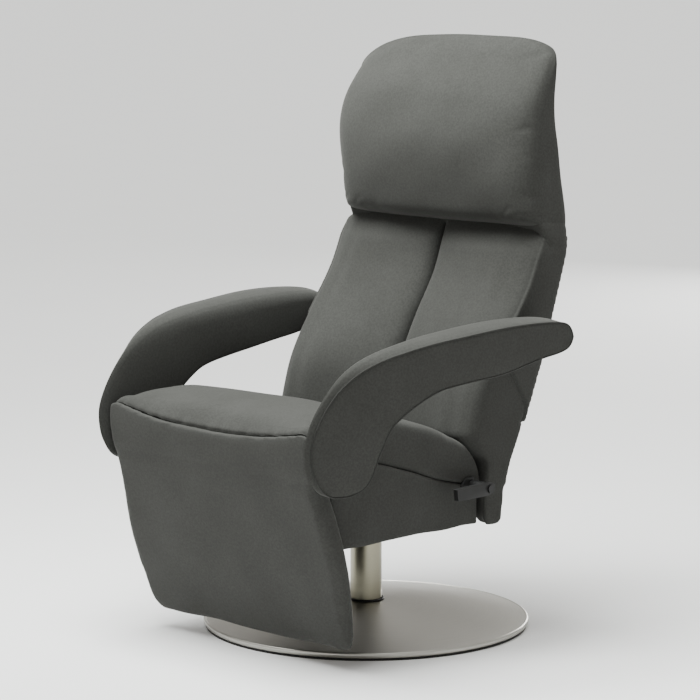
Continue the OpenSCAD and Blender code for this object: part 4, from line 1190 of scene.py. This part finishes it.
class RECLINER_OT_seat(bpy.types.Operator):
    """Seat cushion with its front seam, and the two upholstered side panels"""
    bl_idname = "recliner.seat"
    bl_label = "Seat"

    def execute(self, context):
        sizes = context.scene.recliner_sizes
        seat = build_seat()
        seam = snapped(seat, seam_of_seat())
        creased(seat, seam, sizes.seam_depth * 0.5, 0.004, pucker=0.0009, pitch=0.034)
        dressed(seat, "wool", "upholstery", "seat", "seat_cushion")
        panel = build_side_panel()
        other = mirrored_x(panel, "side_panel_cover_right")
        dressed(panel, "wool", "upholstery", "seat", "side_panel_left")
        dressed(other, "wool", "upholstery", "seat", "side_panel_right")
        return {"FINISHED"}


class RECLINER_OT_arms(bpy.types.Operator):
    """Curved padded arms with a welt round each outer face"""
    bl_idname = "recliner.arms"
    bl_label = "Arms"

    def execute(self, context):
        sizes = context.scene.recliner_sizes
        arm, path = build_arm()
        creased(arm, path + [-0.004, 0, 0], sizes.seam_depth * 0.35, 0.003)
        other = mirrored_x(arm, "arm_cover_right")
        dressed(arm, "wool", "upholstery", "seat", "arm_left")
        dressed(other, "wool", "upholstery", "seat", "arm_right")
        welt = along("arm_welts", [path, path * [-1, 1, 1]], welt_tree(), material("welt"), closed=True,
                     Radius=sizes.welt_radius, Sides=8)
        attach(welt, "seat")
        return {"FINISHED"}


class RECLINER_OT_back(bpy.types.Operator):
    """Two back channels, the rear cover and the wings beside the hinge"""
    bl_idname = "recliner.back"
    bl_label = "Back"

    def execute(self, context):
        channel = build_channel()
        other = mirrored_x(channel, "back_side_and_channel_right")
        channel.name = "back_side_and_channel_left"
        dressed(channel, "wool", "upholstery", "back", "back_channel_left", "back_wing_left")
        dressed(other, "wool", "upholstery", "back", "back_channel_right", "back_wing_right")
        cover = build_rear_cover()
        dressed(cover, "wool", "upholstery", "back", "back_rear_cover")
        return {"FINISHED"}


class RECLINER_OT_headrest(bpy.types.Operator):
    """Headrest pillow, and the pinched fold of cover over its hinge"""
    bl_idname = "recliner.headrest"
    bl_label = "Headrest"

    def execute(self, context):
        head = build_headrest()
        dressed(head, "wool", "upholstery", "headrest", "headrest_pad", "headrest_board")
        fold = build_fold()
        dressed(fold, "wool", "upholstery", None)
        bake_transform(fold)
        return {"FINISHED"}


class RECLINER_OT_footrest(bpy.types.Operator):
    """Footrest pad, and the front cover over its hinge"""
    bl_idname = "recliner.footrest"
    bl_label = "Footrest"

    def execute(self, context):
        foot = build_footrest()
        dressed(foot, "wool", "upholstery", None, "footrest_pad", "footrest_board")
        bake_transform(foot)
        return {"FINISHED"}


class RECLINER_OT_lever(bpy.types.Operator):
    """Moulded grip of the release lever"""
    bl_idname = "recliner.lever"
    bl_label = "Release lever"

    def execute(self, context):
        axis, length, height = (26, 297), 88, 24
        inner, outer = 290, 300
        shares = [(-.12, .1), (-.1, .4), (.06, .52), (.3, .5), (.97, .42), (1, .3), (.98, -.4), (.94, -.48),
                  (.5, -.5), (0, -.42)]
        corners = [(axis[0] - a * length, axis[1] + b * height) for a, b in shares + shares[:1]]
        outline = catmull(corners, 4)[:-1]
        grip = prism("lever_grip_body", outline, inner, outer, 0.0025, 4)
        shade_smooth(grip, math.radians(40))
        dressed(grip, "plastic", "black_plastic", "lever", "lever_grip")
        return {"FINISHED"}


FINISHES = {
    "frame": ("ballast_disc", "column_flange", "flange_screws", "spindle_retainer", "swivel_hub",
              "hub_plate", "seat_rail_left", "seat_rail_right", "cross_tube_front", "cross_tube_rear",
              "arm_bracket_left", "arm_bracket_right", "footrest_lug_left", "footrest_lug_right",
              "footrest_arm_left", "footrest_arm_right", "back_bracket_left", "back_bracket_right",
              "headrest_lugs", "headrest_leaf"),
    "bright": ("swivel_spindle", "headrest_pin", "recline_pins", "footrest_pins", "lever_shaft",
               "arm_screws", "hub_plate_screws"),
    "rubber": ("floor_pad",),
    "plastic": ("column_cap", "lever_bracket", "lever_cap"),
    "nylon": ("thrust_washer",),
    "wood": ("back_board",),
    "stained": ("front_board",),
    "webbing": ("seat_webbing", "seat_underside"),
    "foam": ("seat_foam",),
}


class RECLINER_OT_finishes(bpy.types.Operator):
    """Finishes of the solids that stay as they are"""
    bl_idname = "recliner.finishes"
    bl_label = "Frame finishes"

    def execute(self, context):
        for key, names in FINISHES.items():
            for name in names:
                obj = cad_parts[name]
                obj.data.materials.clear()
                obj.data.materials.append(material(key))
        return {"FINISHED"}


class RECLINER_OT_stage(bpy.types.Operator):
    """Pale floor, soft studio light and the camera at the photographed angle"""
    bl_idname = "recliner.stage"
    bl_label = "Stage"

    def execute(self, context):
        scene = context.scene
        mesh = bpy.data.meshes.new("floor")
        size = 40
        corners = [(x * size, y * size, 0) for x, y in ((-1, -1), (1, -1), (1, 1), (-1, 1))]
        mesh.from_pydata(corners, [], [(0, 1, 2, 3)])
        floor = added("floor", mesh)
        mat, tree, shader, vector = start_material("pale floor")
        cloud = node(tree, "ShaderNodeTexNoise", vector, Scale=3.0, Detail=2.0)
        tone = mixed(tree, cloud.outputs["Fac"], (0.80, 0.80, 0.80), (0.82, 0.82, 0.82))
        feed(tree, shader.inputs["Base Color"], tone)
        shader.inputs["Roughness"].default_value = 0.7
        shader.inputs["Specular IOR Level"].default_value = 0.1
        floor.data.materials.append(mat)
        world = bpy.data.worlds.new("studio")
        scene.world = world
        world.use_nodes = True
        back = world.node_tree.nodes["Background"]
        back.inputs[0].default_value = (1, 0.975, 0.93, 1)
        back.inputs[1].default_value = 0.55
        lamps = [
            ("top", "SUN", (-0.6, -0.6, 4.5), 3.4, 0.9, (0.975, 1, 0.985)),
            ("head", "AREA", (-0.2, -0.5, 2.35), 125, 1.4, (0.97, 1, 0.98)),
            ("rear", "AREA", (-2.0, 5.3, 1.4), 110, 1.8, (1, 1, 0.98)),
        ]
        for name, kind, spot, power, size, colour in lamps:
            light = bpy.data.lights.new(name, kind)
            light.energy, light.color = power, colour
            if kind == "SUN":
                light.angle = size
            else:
                light.size = size
            lamp = added(name, light)
            lamp.location = spot
            lamp.rotation_euler = (Vector((0, 0, 0.55)) - Vector(spot)).to_track_quat("-Z", "Y").to_euler()
        cam = bpy.data.cameras.new("camera")
        picture_pixels, focal_pixels = 700, 3100
        cam.sensor_width, cam.lens = 36, focal_pixels / picture_pixels * 36
        cam.clip_end = 100
        away, height, around, down, aside = 5.8056, 1.3643, 45.3, 8.2054, 0.3023
        turn = math.radians(around)
        eye = added("camera", cam)
        eye.location = (math.sin(turn) * away, -math.cos(turn) * away, height)
        eye.rotation_euler = (math.radians(90 - down), 0, math.radians(around + aside))
        scene.camera = eye
        return {"FINISHED"}


class RECLINER_PT_panel(bpy.types.Panel):
    """Sizes, colours and the steps that build the recliner"""
    bl_label = "Recliner"
    bl_idname = "RECLINER_PT_panel"
    bl_space_type = "VIEW_3D"
    bl_region_type = "UI"
    bl_category = "Recliner"

    def draw(self, context):
        for group in (context.scene.recliner_sizes, context.scene.recliner_colours):
            for key in group.__annotations__:
                self.layout.prop(group, key)
        for step in STEPS:
            self.layout.operator("recliner." + step)


STEPS = ("stage", "base", "seat", "arms", "back", "headrest", "footrest", "lever", "finishes")
CLASSES = (ReclinerSizes, ReclinerColours, RECLINER_OT_stage, RECLINER_OT_base, RECLINER_OT_seat,
           RECLINER_OT_arms, RECLINER_OT_back, RECLINER_OT_headrest, RECLINER_OT_footrest,
           RECLINER_OT_lever, RECLINER_OT_finishes, RECLINER_PT_panel)


def register():
    for cls in CLASSES:
        bpy.utils.register_class(cls)
    bpy.types.Scene.recliner_sizes = bpy.props.PointerProperty(type=ReclinerSizes)
    bpy.types.Scene.recliner_colours = bpy.props.PointerProperty(type=ReclinerColours)


def unregister():
    del bpy.types.Scene.recliner_sizes
    del bpy.types.Scene.recliner_colours
    for cls in reversed(CLASSES):
        bpy.utils.unregister_class(cls)


def main():
    register()
    for step in STEPS:
        getattr(bpy.ops.recliner, step)()


if __name__ == "__main__":
    main()
